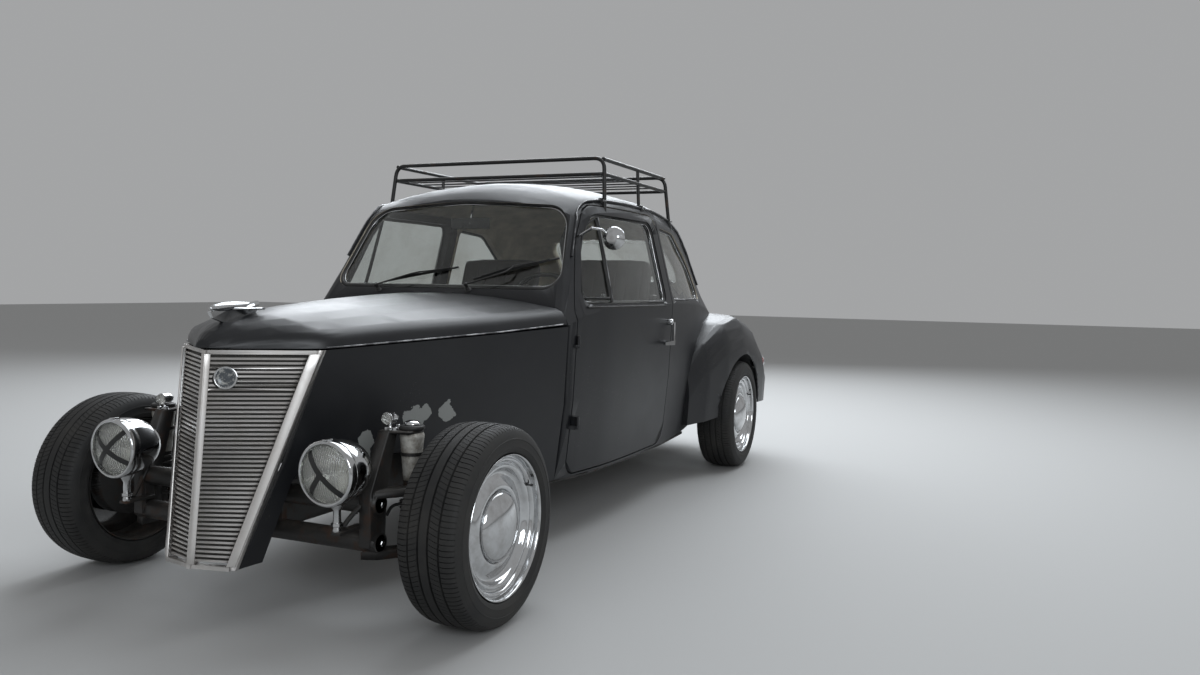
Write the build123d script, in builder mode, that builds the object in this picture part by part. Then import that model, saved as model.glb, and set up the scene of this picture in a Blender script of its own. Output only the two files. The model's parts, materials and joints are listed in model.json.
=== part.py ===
from build123d import *
from math import atan2, cos, hypot, pi, sin
import os

# Hot rod: a rear-engined two-door saloon body on an open front axle.
# Millimetres. X is to the car's left, Y runs from nose to tail, Z is up.
# Every y below is measured from the front axle; the last step moves the origin
# under the middle of the car.

# Overall
WHEELBASE = 2760.0
FRONT_TRACK = 1436.0
REAR_TRACK = 1348.0

# Tyres, rims and hubs
TYRE_RADIUS = 294.0
TYRE_WIDTH = 200.0
TREAD_WIDTH = 150.0
TYRE_CORNER = 32.0
RIM_RADIUS = 210.0
RIM_WIDTH = 184.0
RIM_WALL = 6.0
DISC_BACK_X = 40.0
DISC_X = 50.0
DISC_RADIUS = 150.0
CAP_X = 66.0
CAP_RADIUS = 102.0
CAP_HEIGHT = 32.0
STUB_RADIUS = 18.0
STUB_LENGTH = 22.0
DRUM_RADIUS = 124.0
DRUM_WIDTH = 58.0
KINGPIN_X = 578.0
KINGPIN_RADIUS = 14.0
EYE_RADIUS = 24.0
EYE_HEIGHT = 22.0
PIN_CLEARANCE = 0.3

# Shut lines, seats and glass
GAP = 5.0
SEAT_GAP = 0.3
GLASS_THICKNESS = 5.0
GLASS_INSET = 14.0

# Walls
SIDE_WALL = 46.0
ROOF_WALL = 26.0
NOSE_WALL = 12.0
LID_WALL = 14.0
FENDER_WALL = 8.0
TRUNK_FLOOR_WALL = 12.0

# Cabin cross-sections, front to tail. Columns: y, half width and height of the
# sill, of the belt, of the roof rail, height of the roof, radius at the rail.
CABIN_ROWS = [
    (842, 540, 250, 592, 838, 578, 872, 952, 62),
    (950, 565, 250, 610, 868, 548, 1030, 1136, 82),
    (1075, 585, 250, 626, 890, 514, 1225, 1342, 105),
    (1200, 600, 250, 640, 898, 540, 1284, 1408, 125),
    (1500, 610, 250, 654, 904, 558, 1302, 1446, 150),
    (1850, 610, 250, 656, 908, 558, 1298, 1440, 150),
    (2250, 585, 262, 634, 900, 530, 1248, 1390, 150),
    (2550, 545, 280, 592, 876, 482, 1142, 1298, 140),
    (2850, 484, 303, 534, 831, 417, 965, 1125, 123),
    (2980, 454, 311, 502, 761, 392, 887, 1038, 115),
    (3100, 420, 317, 467, 687, 364, 804, 944, 107),
    (3200, 385, 322, 434, 611, 339, 720, 850, 100),
    (3290, 345, 326, 394, 534, 307, 633, 751, 91),
    (3360, 297, 331, 344, 465, 268, 551, 654, 79),
    (3410, 251, 336, 297, 412, 232, 486, 575, 68),
    (3450, 196, 345, 236, 370, 184, 429, 500, 54),
]
CABIN_STATIONS = [
    842, 950, 1075, 1110, 1150, 1220, 1340, 1500, 1850, 2080, 2250,
    2400, 2550, 2700, 2850, 2980, 3100, 3200, 3290, 3360, 3410, 3450,
]
SIDE_BULGE = 9.0
CORNER_FACETS = 3
CROWN_FACETS = 4

# Windows, seen from in front. Columns: x, z, corner radius
SCREEN_OUTLINE = [(536, 968, 66), (472, 1308, 120), (0, 1332, 900), (-472, 1308, 120), (-536, 968, 66)]
SCREEN_Y = (780.0, 1190.0)
REAR_OUTLINE = [(372, 1004, 70), (332, 1236, 70), (0, 1258, 900), (-332, 1236, 70), (-372, 1004, 70)]
REAR_Y = (2480.0, 3160.0)
LID_OUTLINE = [
    (180, 424, 70),
    (286, 640, 120),
    (200, 935, 120),
    (-200, 935, 120),
    (-286, 640, 120),
    (-180, 424, 70),
]
LID_Y = (2960.0, 3520.0)

# Doors and side windows, seen from the side. Columns: y, z, corner radius
DOOR_OUTLINE = [
    (905, 262, 50),
    (905, 892, 40),
    (1034, 1160, 150),
    (1150, 1314, 100),
    (1835, 1314, 90),
    (1835, 262, 90),
]
DOOR_WINDOW = [
    (954, 915, 40),
    (1076, 1184, 110),
    (1176, 1280, 70),
    (1772, 1282, 55),
    (1772, 915, 45),
]
QUARTER_WINDOW = [
    (1862, 922, 40),
    (1862, 1268, 40),
    (2110, 1250, 120),
    (2355, 1080, 150),
    (2408, 922, 45),
]
SIDE_REACH = (300.0, 760.0)

# Rear fenders. Columns: y from the rear axle, half width and height of the root
# at the body, half width of the crown line, half width and height of the outer
# edge, height of the hem.
FENDER_ROWS = [
    (-560, 560, 560, 600, 628, 430, 290),
    (-440, 560, 700, 640, 690, 560, 300),
    (-250, 560, 800, 670, 745, 640, 320),
    (0, 540, 838, 665, 772, 660, 330),
    (250, 500, 790, 655, 772, 600, 330),
    (430, 460, 690, 640, 765, 520, 320),
    (560, 420, 585, 620, 745, 450, 310),
    (610, 400, 470, 600, 715, 390, 310),
]
ARCH_RADIUS = 332.0
WELL_X = 536.0

# Nose, from the cowl to the grille. Columns: y, half width and height of the
# lower edge, half width at mid height, half width and height of the hood line.
NOSE_ROWS = [
    (842, 540, 250, 577, 592, 833),
    (500, 440, 235, 472, 489, 815),
    (150, 300, 215, 342, 369, 798),
]
GRILLE_TOP = (270.0, -130.0, 785.0)
GRILLE_FOOT = (129.0, -332.0, 168.0)
STRIP_TOP_Y = -324.0
STRIP_FOOT_Y = -385.0
NOSE_MID_BULGE = 14.0
BAY_OUTLINE = [(-278, 120, 5), (-196, 446, 70), (560, 446, 140), (650, 120, 5)]
TRUNK_FLOOR_Z = 446.0
TRUNK_FRONT_Y = -170.0

# Grille
BAR_COUNT = 46
BAR_HEIGHT = 6.5
BAR_DEPTH = 14.0
STRIP_WIDTH = 15.0
STRIP_DEPTH = 24.0
TRIM_TOP_WIDTH = 15.0
TRIM_FOOT_WIDTH = 25.0
TRIM_DEPTH = 26.0
RAIL_HEIGHT = 12.0
RAIL_DEPTH = 20.0
STRIP_PROUD = 6.0
BADGE_RADIUS = 30.0
BADGE_Z = 704.0
BADGE_X = 50.0
BADGE_STAND = 5.0

# Hood. Columns: y, half width and height of its edge, height of the crown,
# radius of the shoulder.
HOOD_ROWS = [
    (834, 590, 842, 951, 60),
    (500, 490, 820, 938, 62),
    (150, 370, 803, 916, 62),
    (-50, 299, 793, 900, 58),
    (-135, 272, 790, 889, 54),
    (-200, 190, 790, 879, 50),
    (-262, 112, 790, 864, 42),
    (-310, 58, 790, 840, 28),
    (-336, 26, 792, 814, 12),
]
HOOD_HINGE_Y = 838.0
HOOD_HINGE_Z = 951.0
HOOD_HINGE_X = 70.0

# Small round hinges on the hood and the engine lid
BARREL_RADIUS = 3.5
BARREL_LENGTH = 26.0
HINGE_PIN_RADIUS = 1.6
LEAF_LENGTH = 22.0
LEAF_WALL = 3.0


# Firewall, hinges and wheelhouses
COWL_Y = 842.0
FLOOR_OPEN = 30.0
HEM_OPEN = 30.0
NOSE_OPEN = 40.0
HOOD_OPEN = 30.0
REAR_AXLE_Y = WHEELBASE
HEM_TUCK = 8.0
FENDER_ROOT_RISE = 10.0
WELL_WALL = 8.0
WELL_REACH = 640.0
WELL_RADIUS = ARCH_RADIUS + WELL_WALL
AXLE_NOTCH = 52.0
AXLE_CUT_X = 430.0
LUG_WIDTH = 8.0
LUG_DROP = 7.0
LUG_ROOT = 2.0
LID_HINGE_X = 60.0
LID_HINGE_Y = 3112.0
LID_HINGE_Z = 938.0
LID_LEAF = 16.0
DOOR_HINGE_X = 607.0
DOOR_HINGE_Y = 902.5
DOOR_HINGE_HEIGHTS = (470.0, 780.0)
DOOR_BARREL_RADIUS = 6.0
DOOR_BARREL_LENGTH = 34.0
DOOR_PIN_RADIUS = 3.0
DOOR_LUG = 12.0
DOOR_STRAP_REACH = 40.0
DOOR_STRAP_LENGTH = 16.0

# Outside fittings
DOOR_SKIN_X = 600.0
HANDLE_X = 688.0
HANDLE_Y = 1780.0
HANDLE_Z = 732.0
HANDLE_LENGTH = 120.0
HANDLE_HEIGHT = 22.0
HANDLE_WALL = 10.0
HANDLE_POST_RADIUS = 8.0
LOCK_Y = 1780.0
LOCK_Z = 826.0
LOCK_RADIUS = 15.0
MIRROR_ARM = [(518.0, 1052.0, 1176.0), (596.0, 1032.0, 1212.0), (622.0, 1068.0, 1208.0), (650.0, 1106.0, 1180.0)]
MIRROR_HEAD = (664.0, 1096.0, 1176.0)
MIRROR_ARM_RADIUS = 5.0
MIRROR_RADIUS = 46.0
ORNAMENT_SPEAR = [(-311, 894), (-123, 925), (-118, 915), (-135, 885), (-262, 862), (-300, 876)]
ORNAMENT_WIDTH = 12.0
ORNAMENT_WING = [(0, -250), (46, -150), (44, -135), (0, -165)]
ORNAMENT_WING_Z = 899.0
ORNAMENT_WING_WALL = 6.0
TAIL_LAMP_X = 690.0
TAIL_LAMP_Y = 3352.0
TAIL_LAMP_Z = 548.0
TAIL_LAMP_RADIUS = 42.0
TAIL_LAMP_DEPTH = 110.0

# Floor. Columns: y, half width of the sill above it
FLOOR_EDGE = [(690, 486), (842, 530), (950, 565), (1075, 585), (1500, 610), (1850, 610), (2250, 585)]
FLOOR_TUCK = 8.0
FLOOR_TOP = 250.0 - SEAT_GAP
FLOOR_WALL = 12.0
TUNNEL_HALF = 70.0
TUNNEL_RISE = 90.0
TUNNEL_Y = 868.0
HEAD_LAP = 24.0
HEAD_FOOT = 226.0
HEAD_TOP = 366.0
FORK_Y = 2300.0
FORK_BEND_Y = 2440.0
FORK_END_Y = 2700.0
FORK_HALF = 170.0
FORK_WIDTH = 44.0
FORK_RISE = 40.0

# Front axle
BEAM_Y = -140.0
BEAM_HEIGHTS = (240.0, 352.0)
BEAM_HALF = 440.0
BEAM_RADIUS = 30.0
BEAM_POST_X = 110.0
ARM_LEVELS = (206.0, 382.0)
ARM_WIDTH = 34.0
TOWER_X = (428.0, 462.0)
TOWER_OUTLINE = [(-178, 232), (-104, 232), (-96, 380), (-50, 540), (-50, 556), (-92, 556), (-178, 380)]
SHOCK_X = 500.0
SHOCK_Y = -26.0
SHOCK_FOOT = 300.0
SHOCK_TOP = 548.0
SHOCK_RADIUS = 25.0
SHOCK_ROD_RADIUS = 9.0
BRACKET_WALL = 8.0

# Lamps. Profiles are pairs: along the lamp's own axis, radius
LAMP_X = 408.0
LAMP_Y = -299.0
LAMP_Z = 462.0
LAMP_RADIUS = 92.0
LAMP_PROFILE = [
    (12, 0),
    (12, 82),
    (-6, 82),
    (-6, 93),
    (22, 93),
    (88, 84),
    (134, 54),
    (150, 0),
]
LENS_PROFILE = [(11.7, 0), (11.7, 81.7), (2, 81.7), (-12, 44), (-12, 0)]
POST_Y = -250.0
POST_FOOT = 304.0
POST_RADIUS = 11.0
POST_SEAT = 8.0
SIGNAL_X = 450.0
SIGNAL_Y = -95.0
SIGNAL_Z = 590.0
SIGNAL_PROFILE = [(0, 0), (0, 12), (6, 19), (36, 19), (58, 11), (64, 0)]
SIGNAL_STEM_RADIUS = 5.0

# Hubs and rear axle
HUB_BACK_X = 22.0
HUB_FACE_RADIUS = 60.0
HUB_RADIUS = 26.0
SPRING_PLATE_X = 450.0
SPRING_PLATE_WALL = 8.0
SPRING_PLATE_HALF = 22.0
MOUNT_Y = (2600.0, 2660.0)
MOUNT_Z = (250.0, 285.0)
TORSION_Y = 2330.0
TORSION_RADIUS = 32.0
AXLE_TUBE_RADIUS = 32.0
GEARBOX_HALF = 125.0
GEARBOX_FRONT_Y = 2420.0
GEARBOX_Z = (205.0, 400.0)
ENGINE_HALF = 255.0
ENGINE_Y = (2860.0, 3225.0)
ENGINE_Z = (262.0, 620.0)
MUFFLER_HALF = 260.0
MUFFLER_Y = 3372.0
MUFFLER_Z = 276.0
MUFFLER_RADIUS = 54.0
PIPE_X = 170.0
PIPE_RADIUS = 20.0
TAILPIPE_Y = 3490.0

# Cabin fittings. Outlines are seen from the side
DASH_OUTLINE = [(846, 700), (900, 690), (958, 720), (958, 880), (930, 905), (846, 905)]
DASH_HALF = 500.0
WHEEL_X = 330.0
WHEEL_Y = 1240.0
WHEEL_Z = 870.0
WHEEL_RADIUS = 190.0
WHEEL_RIM = 20.0
WHEEL_HUB = 52.0
COLUMN_RISE = 0.42
COLUMN_LENGTH = 330.0
COLUMN_RADIUS = 18.0
SEAT_X = 300.0
SEAT_WIDTH = 440.0
SEAT_OUTLINE = [
    (1330, 250), (1800, 250), (1960, 1120), (1900, 1130), (1760, 620), (1740, 470), (1300, 520), (1290, 400),
]
BENCH_HALF = 490.0
BENCH_OUTLINE = [(1985, 250), (2240, 250), (2440, 900), (2390, 915), (2270, 560), (2240, 480), (1990, 520)]
SHELF_OUTLINE = [(2460, 880), (2640, 880), (2640, 410), (2650, 410), (2650, 890), (2460, 890)]
MIRROR_GLASS_HALF = 95.0
INNER_MIRROR_Y = 1105.0
INNER_MIRROR_Z = 1215.0

# Roof rack corners, left side. Columns: x, y, z
RACK_CORNERS = [
    (538, 1287, 1290),
    (521, 1314, 1523),
    (521, 2060, 1523),
    (540, 2100, 1250),
    (523, 1300, 1456),
    (523, 2072, 1456),
]
RACK_TUBE = 9.0
RACK_POST_TUBE = 8.0
RACK_SLAT_TUBE = 7.0
RACK_POSTS = (0.52,)
RACK_FOOT_Z = 1230.0
RACK_SLATS = (0.0, 0.13, 0.26, 0.39, 0.52, 0.65, 0.78, 1.0)
RACK_SLAT_WIDTH = 22.0
RACK_SLAT_WALL = 5.0


def smooth_row(y):
    """The cabin table's row at y: a curve through each column that never overshoots."""
    spans = list(zip(CABIN_ROWS, CABIN_ROWS[1:]))
    slopes = [[(b[c] - a[c]) / (b[0] - a[0]) for c in range(1, 9)] for a, b in spans]
    k = min(i for i, (a, b) in enumerate(spans) if y <= b[0])

    def tangent(i, c):
        if i in (0, len(CABIN_ROWS) - 1):
            return slopes[min(i, len(slopes) - 1)][c]
        left, right = slopes[i - 1][c], slopes[i][c]
        return 0.0 if left * right <= 0 else 2 * left * right / (left + right)

    a, b = spans[k]
    run = b[0] - a[0]
    t = (y - a[0]) / run
    row = [y]
    for c in range(8):
        ends = a[c + 1] * (1 + 2 * t) * (1 - t) ** 2 + b[c + 1] * t * t * (3 - 2 * t)
        bends = tangent(k, c) * t * (1 - t) ** 2 - tangent(k + 1, c) * t * t * (1 - t)
        row.append(ends + run * bends)
    return row


def arch(rail_half, rail_z, lean, radius, top):
    """Half outline of a roof or hood: a shoulder arc, then a crown arc, in facets."""
    corner = min(radius, 0.72 * (top - rail_z))
    hub = (rail_half - corner * cos(lean), rail_z - corner * sin(lean))
    crown = (hub[0] ** 2 + (top - hub[1]) ** 2 - corner ** 2) / (2 * (top - hub[1] - corner))
    tilt = atan2(hub[1] - (top - crown), hub[0])
    points = []
    for i in range(CORNER_FACETS + 1):
        turn = lean + (tilt - lean) * i / CORNER_FACETS
        points.append((hub[0] + corner * cos(turn), hub[1] + corner * sin(turn)))
    for i in range(1, CROWN_FACETS + 1):
        turn = tilt + (pi / 2 - tilt) * i / CROWN_FACETS
        points.append((crown * cos(turn), top - crown + crown * sin(turn)))
    return points


def mirrored_face(half_points, plane):
    """Face from a half outline that ends on the middle plane, with its mirror image."""
    other = [(-x, z) for x, z in reversed(half_points) if x > 1e-6]
    with BuildSketch(plane, mode=Mode.PRIVATE) as section:
        with BuildLine():
            Polyline(half_points + other, close=True)
        make_face()
    return section.sketch


def cabin_section(row, side_in, top_in, floor_in, shift):
    """Closed outline of the cabin at one y, drawn in at the side, roof and floor."""
    y, sill_half, sill_z, belt_half, belt_z, rail_half, rail_z, roof_z, radius = row
    side = side_in * belt_half / CABIN_ROWS[5][3]
    sill = (sill_half - side, sill_z + floor_in)
    belt = (belt_half - side, belt_z - top_in / 2)
    rail = (rail_half - side, rail_z - top_in / 2)
    lean = atan2(belt[0] - rail[0], rail[1] - belt[1])
    hip = ((sill[0] + belt[0]) / 2 + SIDE_BULGE, (sill[1] + belt[1]) / 2)
    points = [sill, hip, belt] + arch(rail[0], rail[1], lean, radius, roof_z - top_in)
    return mirrored_face(points, Plane.XZ.offset(-(y + shift)))


def cabin_solid(side_in, top_in, floor_in=0.0):
    """The cabin's whole form, moved in by a distance at the sides, roof and floor."""
    rows = [smooth_row(y) for y in CABIN_STATIONS]
    sections = []
    for i, row in enumerate(rows):
        before = rows[max(i - 1, 0)]
        after = rows[min(i + 1, len(rows) - 1)]
        run = after[0] - before[0]
        climb = after[7] - before[7]
        slope = hypot(run, climb)
        shift = top_in * climb / slope
        sections.append(cabin_section(row, side_in, top_in * run / slope, floor_in, shift))
    return loft(sections=sections, ruled=True)


def front_prism(outline, span, grow=0.0):
    """Outline seen from in front, carried from one y to another."""
    with BuildPart(mode=Mode.PRIVATE) as prism:
        with BuildSketch(Plane.XZ.offset(-span[0])):
            with BuildLine():
                FilletPolyline([(x, z) for x, z, _ in outline], radius=[r for _, _, r in outline], close=True)
            make_face()
            if grow:
                offset(amount=grow)
        extrude(amount=span[0] - span[1])
    return prism.part


def side_prism(outline, span, grow=0.0):
    """Outline seen from the side, carried from one x to another."""
    with BuildPart(mode=Mode.PRIVATE) as prism:
        with BuildSketch(Plane.YZ.offset(span[0])):
            with BuildLine():
                FilletPolyline([(y, z) for y, z, _ in outline], radius=[r for _, _, r in outline], close=True)
            make_face()
            if grow:
                offset(amount=grow)
        extrude(amount=span[1] - span[0])
    return prism.part


def loft_rows(sections):
    """Straight-sided solid through a list of like polygons."""
    return loft(sections=sections, ruled=True)


def nose_solid(side_in, over=0.0):
    """The nose's side form, moved in at the sides and carried past its top and foot."""
    sections = []
    for y, low, low_z, mid, top, top_z in NOSE_ROWS:
        half = [(low - side_in, low_z - over), (mid - side_in, (low_z + top_z) / 2), (top - side_in, top_z + over)]
        sections.append(mirrored_face(half, Plane.XZ.offset(-y)))
    foot, head = GRILLE_FOOT, GRILLE_TOP
    slope = hypot(head[1] - foot[1], head[2] - foot[2])
    tilted = Plane(
        origin=(0, foot[1], foot[2]),
        x_dir=(1, 0, 0),
        z_dir=(0, -(head[2] - foot[2]) / slope, (head[1] - foot[1]) / slope),
    )
    middle = (foot[0] + head[0]) / 2 + NOSE_MID_BULGE
    half = [(foot[0] - side_in, -over), (middle - side_in, slope / 2), (head[0] - side_in, slope + over)]
    sections.append(mirrored_face(half, tilted))
    return loft_rows(sections)


def hood_solid(rows, inset, below=0.0):
    """The hood's form through some of its rows, moved in at the sides and crown."""
    sections = []
    for y, edge_half, edge_z, crown_z, radius in rows:
        half = [(edge_half - inset, edge_z - below)] if below else []
        half = half + arch(edge_half - inset, edge_z, 0.0, radius, crown_z - inset)
        sections.append(mirrored_face(half, Plane.XZ.offset(-y)))
    return loft_rows(sections)


def fender_solid(inset, end_in=0.0, below=0.0):
    """A left rear fender's whole form, moved in from its skin and carried past its hem."""
    sections = []
    last = len(FENDER_ROWS) - 1
    for i, (y, root, crown_z, crown, outer, outer_z, hem_z) in enumerate(FENDER_ROWS):
        place = REAR_AXLE_Y + y + (end_in if i == 0 else -end_in if i == last else 0)
        wide = outer - crown
        high = crown_z - outer_z
        points = [(root, hem_z - below), (outer - HEM_TUCK - inset, hem_z - below), (outer - inset, outer_z)]
        for turn in (pi / 8, pi / 4, 3 * pi / 8, pi / 2):
            points.append((crown + wide * cos(turn) - inset, outer_z + high * sin(turn) - inset))
        points.append((root, crown_z + FENDER_ROOT_RISE - inset))
        with BuildSketch(Plane.XZ.offset(-place)) as section:
            with BuildLine():
                Polyline(points, close=True)
            make_face()
        sections.append(section.sketch)
    return loft_rows(sections)


def bar(start, end, radius):
    """Round bar between two points."""
    way = Vector(*end) - Vector(*start)
    with BuildPart(mode=Mode.PRIVATE) as rod:
        with BuildSketch(Plane(origin=start, z_dir=way)):
            Circle(radius)
        extrude(amount=way.length)
    return rod.part


def block(low, high):
    """Box between two corners."""
    size = [b - a for a, b in zip(low, high)]
    middle = tuple((a + b) / 2 for a, b in zip(low, high))
    with BuildPart(mode=Mode.PRIVATE) as box:
        with Locations(middle):
            Box(*size)
    return box.part


def spun(profile, place, axis=Axis.X):
    """Solid of revolution from a closed outline of (along, radius) pairs."""
    plane = Plane.XY if axis == Axis.X else Plane.YX
    with BuildPart(mode=Mode.PRIVATE) as turned:
        with BuildSketch(plane):
            with BuildLine():
                Polyline(profile, close=True)
            make_face()
        revolve(axis=axis)
    return Location(place) * turned.part


def side_form(outline, low_x, high_x, grow=0.0):
    """Side view outline of (y, z) pairs, from one x to another."""
    with BuildPart(mode=Mode.PRIVATE) as form:
        with BuildSketch(Plane.YZ.offset(low_x)):
            with BuildLine():
                Polyline(outline, close=True)
            make_face()
            if grow:
                offset(amount=grow, kind=Kind.INTERSECTION)
        extrude(amount=high_x - low_x)
    return form.part


def plan_form(outline, low_z, high_z):
    """Plan view outline of (x, y) pairs, from one height to another."""
    with BuildPart(mode=Mode.PRIVATE) as form:
        with BuildSketch(Plane.XY.offset(low_z)):
            with BuildLine():
                Polyline(outline, close=True)
            make_face()
        extrude(amount=high_z - low_z)
    return form.part


def both_sides(solid):
    """A solid and its mirror image across the middle of the car."""
    return [solid, mirror(solid, about=Plane.YZ)]


# Skins and cutters that several panels share
cabin_outer = cabin_solid(0, 0)
cabin_inner = cabin_solid(SIDE_WALL, ROOF_WALL, -FLOOR_OPEN)
cabin_inner_clear = cabin_solid(SIDE_WALL + SEAT_GAP, ROOF_WALL + SEAT_GAP, -FLOOR_OPEN)
cabin_grown = cabin_solid(-SEAT_GAP, -SEAT_GAP)
glass_skin = cabin_solid(GLASS_INSET, GLASS_INSET) - cabin_solid(
    GLASS_INSET + GLASS_THICKNESS, GLASS_INSET + GLASS_THICKNESS
)
lid_core = cabin_solid(LID_WALL, LID_WALL)
door_side = side_prism(DOOR_OUTLINE, SIDE_REACH)
door_opening = side_prism(DOOR_OUTLINE, SIDE_REACH, GAP)
door_window_cut = side_prism(DOOR_WINDOW, SIDE_REACH)
quarter_cut = side_prism(QUARTER_WINDOW, SIDE_REACH)
lid_prism = front_prism(LID_OUTLINE, LID_Y)
rear_fender_form = fender_solid(0)
rear_fender_core = fender_solid(FENDER_WALL, FENDER_WALL, HEM_OPEN)
nose_outer = nose_solid(0)
nose_inner = nose_solid(NOSE_WALL, NOSE_OPEN)
trunk_space = nose_solid(NOSE_WALL / 2)
hood_outer = hood_solid(HOOD_ROWS, 0)
hood_inner = hood_solid(HOOD_ROWS[:-1], LID_WALL, HOOD_OPEN)

# Hinge pins and the lugs that carry them, all on the body
def cross_lugs(x, y, z, foot):
    """Pin along X between two lugs, each with a foot block that reaches the body."""
    reach = BARREL_LENGTH / 2 + PIN_CLEARANCE
    solids = [bar((x - reach - LUG_WIDTH, y, z), (x + reach + LUG_WIDTH, y, z), HINGE_PIN_RADIUS)]
    for end in (-1, 1):
        near = x + end * reach
        far = near + end * LUG_WIDTH
        solids.append(bar((near, y, z), (far, y, z), BARREL_RADIUS))
        low, high = foot
        solids.append(block((min(near, far), low[0], low[1]), (max(near, far), high[0], high[1])))
    return solids


hood_foot = ((HOOD_HINGE_Y, HOOD_HINGE_Z - LUG_DROP), (COWL_Y + LUG_ROOT, HOOD_HINGE_Z))
lid_foot = ((LID_HINGE_Y - LID_LEAF, LID_HINGE_Z), (LID_HINGE_Y, LID_HINGE_Z + LEAF_WALL))
hinge_lugs = []
for side in (-1, 1):
    hinge_lugs += cross_lugs(side * HOOD_HINGE_X, HOOD_HINGE_Y, HOOD_HINGE_Z, hood_foot)
    hinge_lugs += cross_lugs(side * LID_HINGE_X, LID_HINGE_Y, LID_HINGE_Z, lid_foot)
for z in DOOR_HINGE_HEIGHTS:
    foot = z - DOOR_BARREL_LENGTH / 2 - PIN_CLEARANCE
    top = z + DOOR_BARREL_LENGTH / 2
    hinge_lugs += both_sides(bar((DOOR_HINGE_X, DOOR_HINGE_Y, foot - DOOR_LUG), (DOOR_HINGE_X, DOOR_HINGE_Y, foot), DOOR_BARREL_RADIUS))
    hinge_lugs += both_sides(bar((DOOR_HINGE_X, DOOR_HINGE_Y, foot), (DOOR_HINGE_X, DOOR_HINGE_Y, top), DOOR_PIN_RADIUS))
    hinge_lugs += both_sides(
        block(
            (DOOR_HINGE_X - DOOR_STRAP_REACH, DOOR_HINGE_Y - DOOR_STRAP_LENGTH, foot - DOOR_LUG),
            (DOOR_HINGE_X, DOOR_HINGE_Y, foot),
        )
    )

# Cabin shell with wheelhouses, window openings and hinge lugs
well_axis = (REAR_AXLE_Y, TYRE_RADIUS)
with BuildPart(mode=Mode.PRIVATE) as wheelhouse:
    add(bar((WELL_X - WELL_WALL, *well_axis), (WELL_REACH, *well_axis), WELL_RADIUS))
    add(cabin_outer, mode=Mode.INTERSECT)
well_cut = bar((WELL_X, *well_axis), (WELL_REACH, *well_axis), WELL_RADIUS - WELL_WALL)
axle_cut = block(
    (AXLE_CUT_X, REAR_AXLE_Y - AXLE_NOTCH, 0),
    (WELL_REACH, REAR_AXLE_Y + AXLE_NOTCH, TYRE_RADIUS + AXLE_NOTCH),
)
openings = [
    front_prism(SCREEN_OUTLINE, SCREEN_Y),
    front_prism(REAR_OUTLINE, REAR_Y),
    front_prism(LID_OUTLINE, LID_Y, GAP),
    *both_sides(door_opening),
    *both_sides(quarter_cut),
    *both_sides(well_cut),
    *both_sides(axle_cut),
]
with BuildPart() as body_shell:
    add(cabin_outer)
    add(cabin_inner, mode=Mode.SUBTRACT)
    add(both_sides(wheelhouse.part))
    add(openings, mode=Mode.SUBTRACT)
    add(hinge_lugs)

# Nose side panels with the trunk floor between them
with BuildPart() as nose_panels:
    add(nose_outer)
    add(nose_inner, mode=Mode.SUBTRACT)
    with BuildPart(mode=Mode.PRIVATE) as trunk_floor:
        add(trunk_space)
        add(
            block((-700, TRUNK_FRONT_Y, TRUNK_FLOOR_Z), (700, COWL_Y, TRUNK_FLOOR_Z + TRUNK_FLOOR_WALL)),
            mode=Mode.INTERSECT,
        )
    add(trunk_floor.part)
    add(side_prism(BAY_OUTLINE, (-700, 700)), mode=Mode.SUBTRACT)

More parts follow.
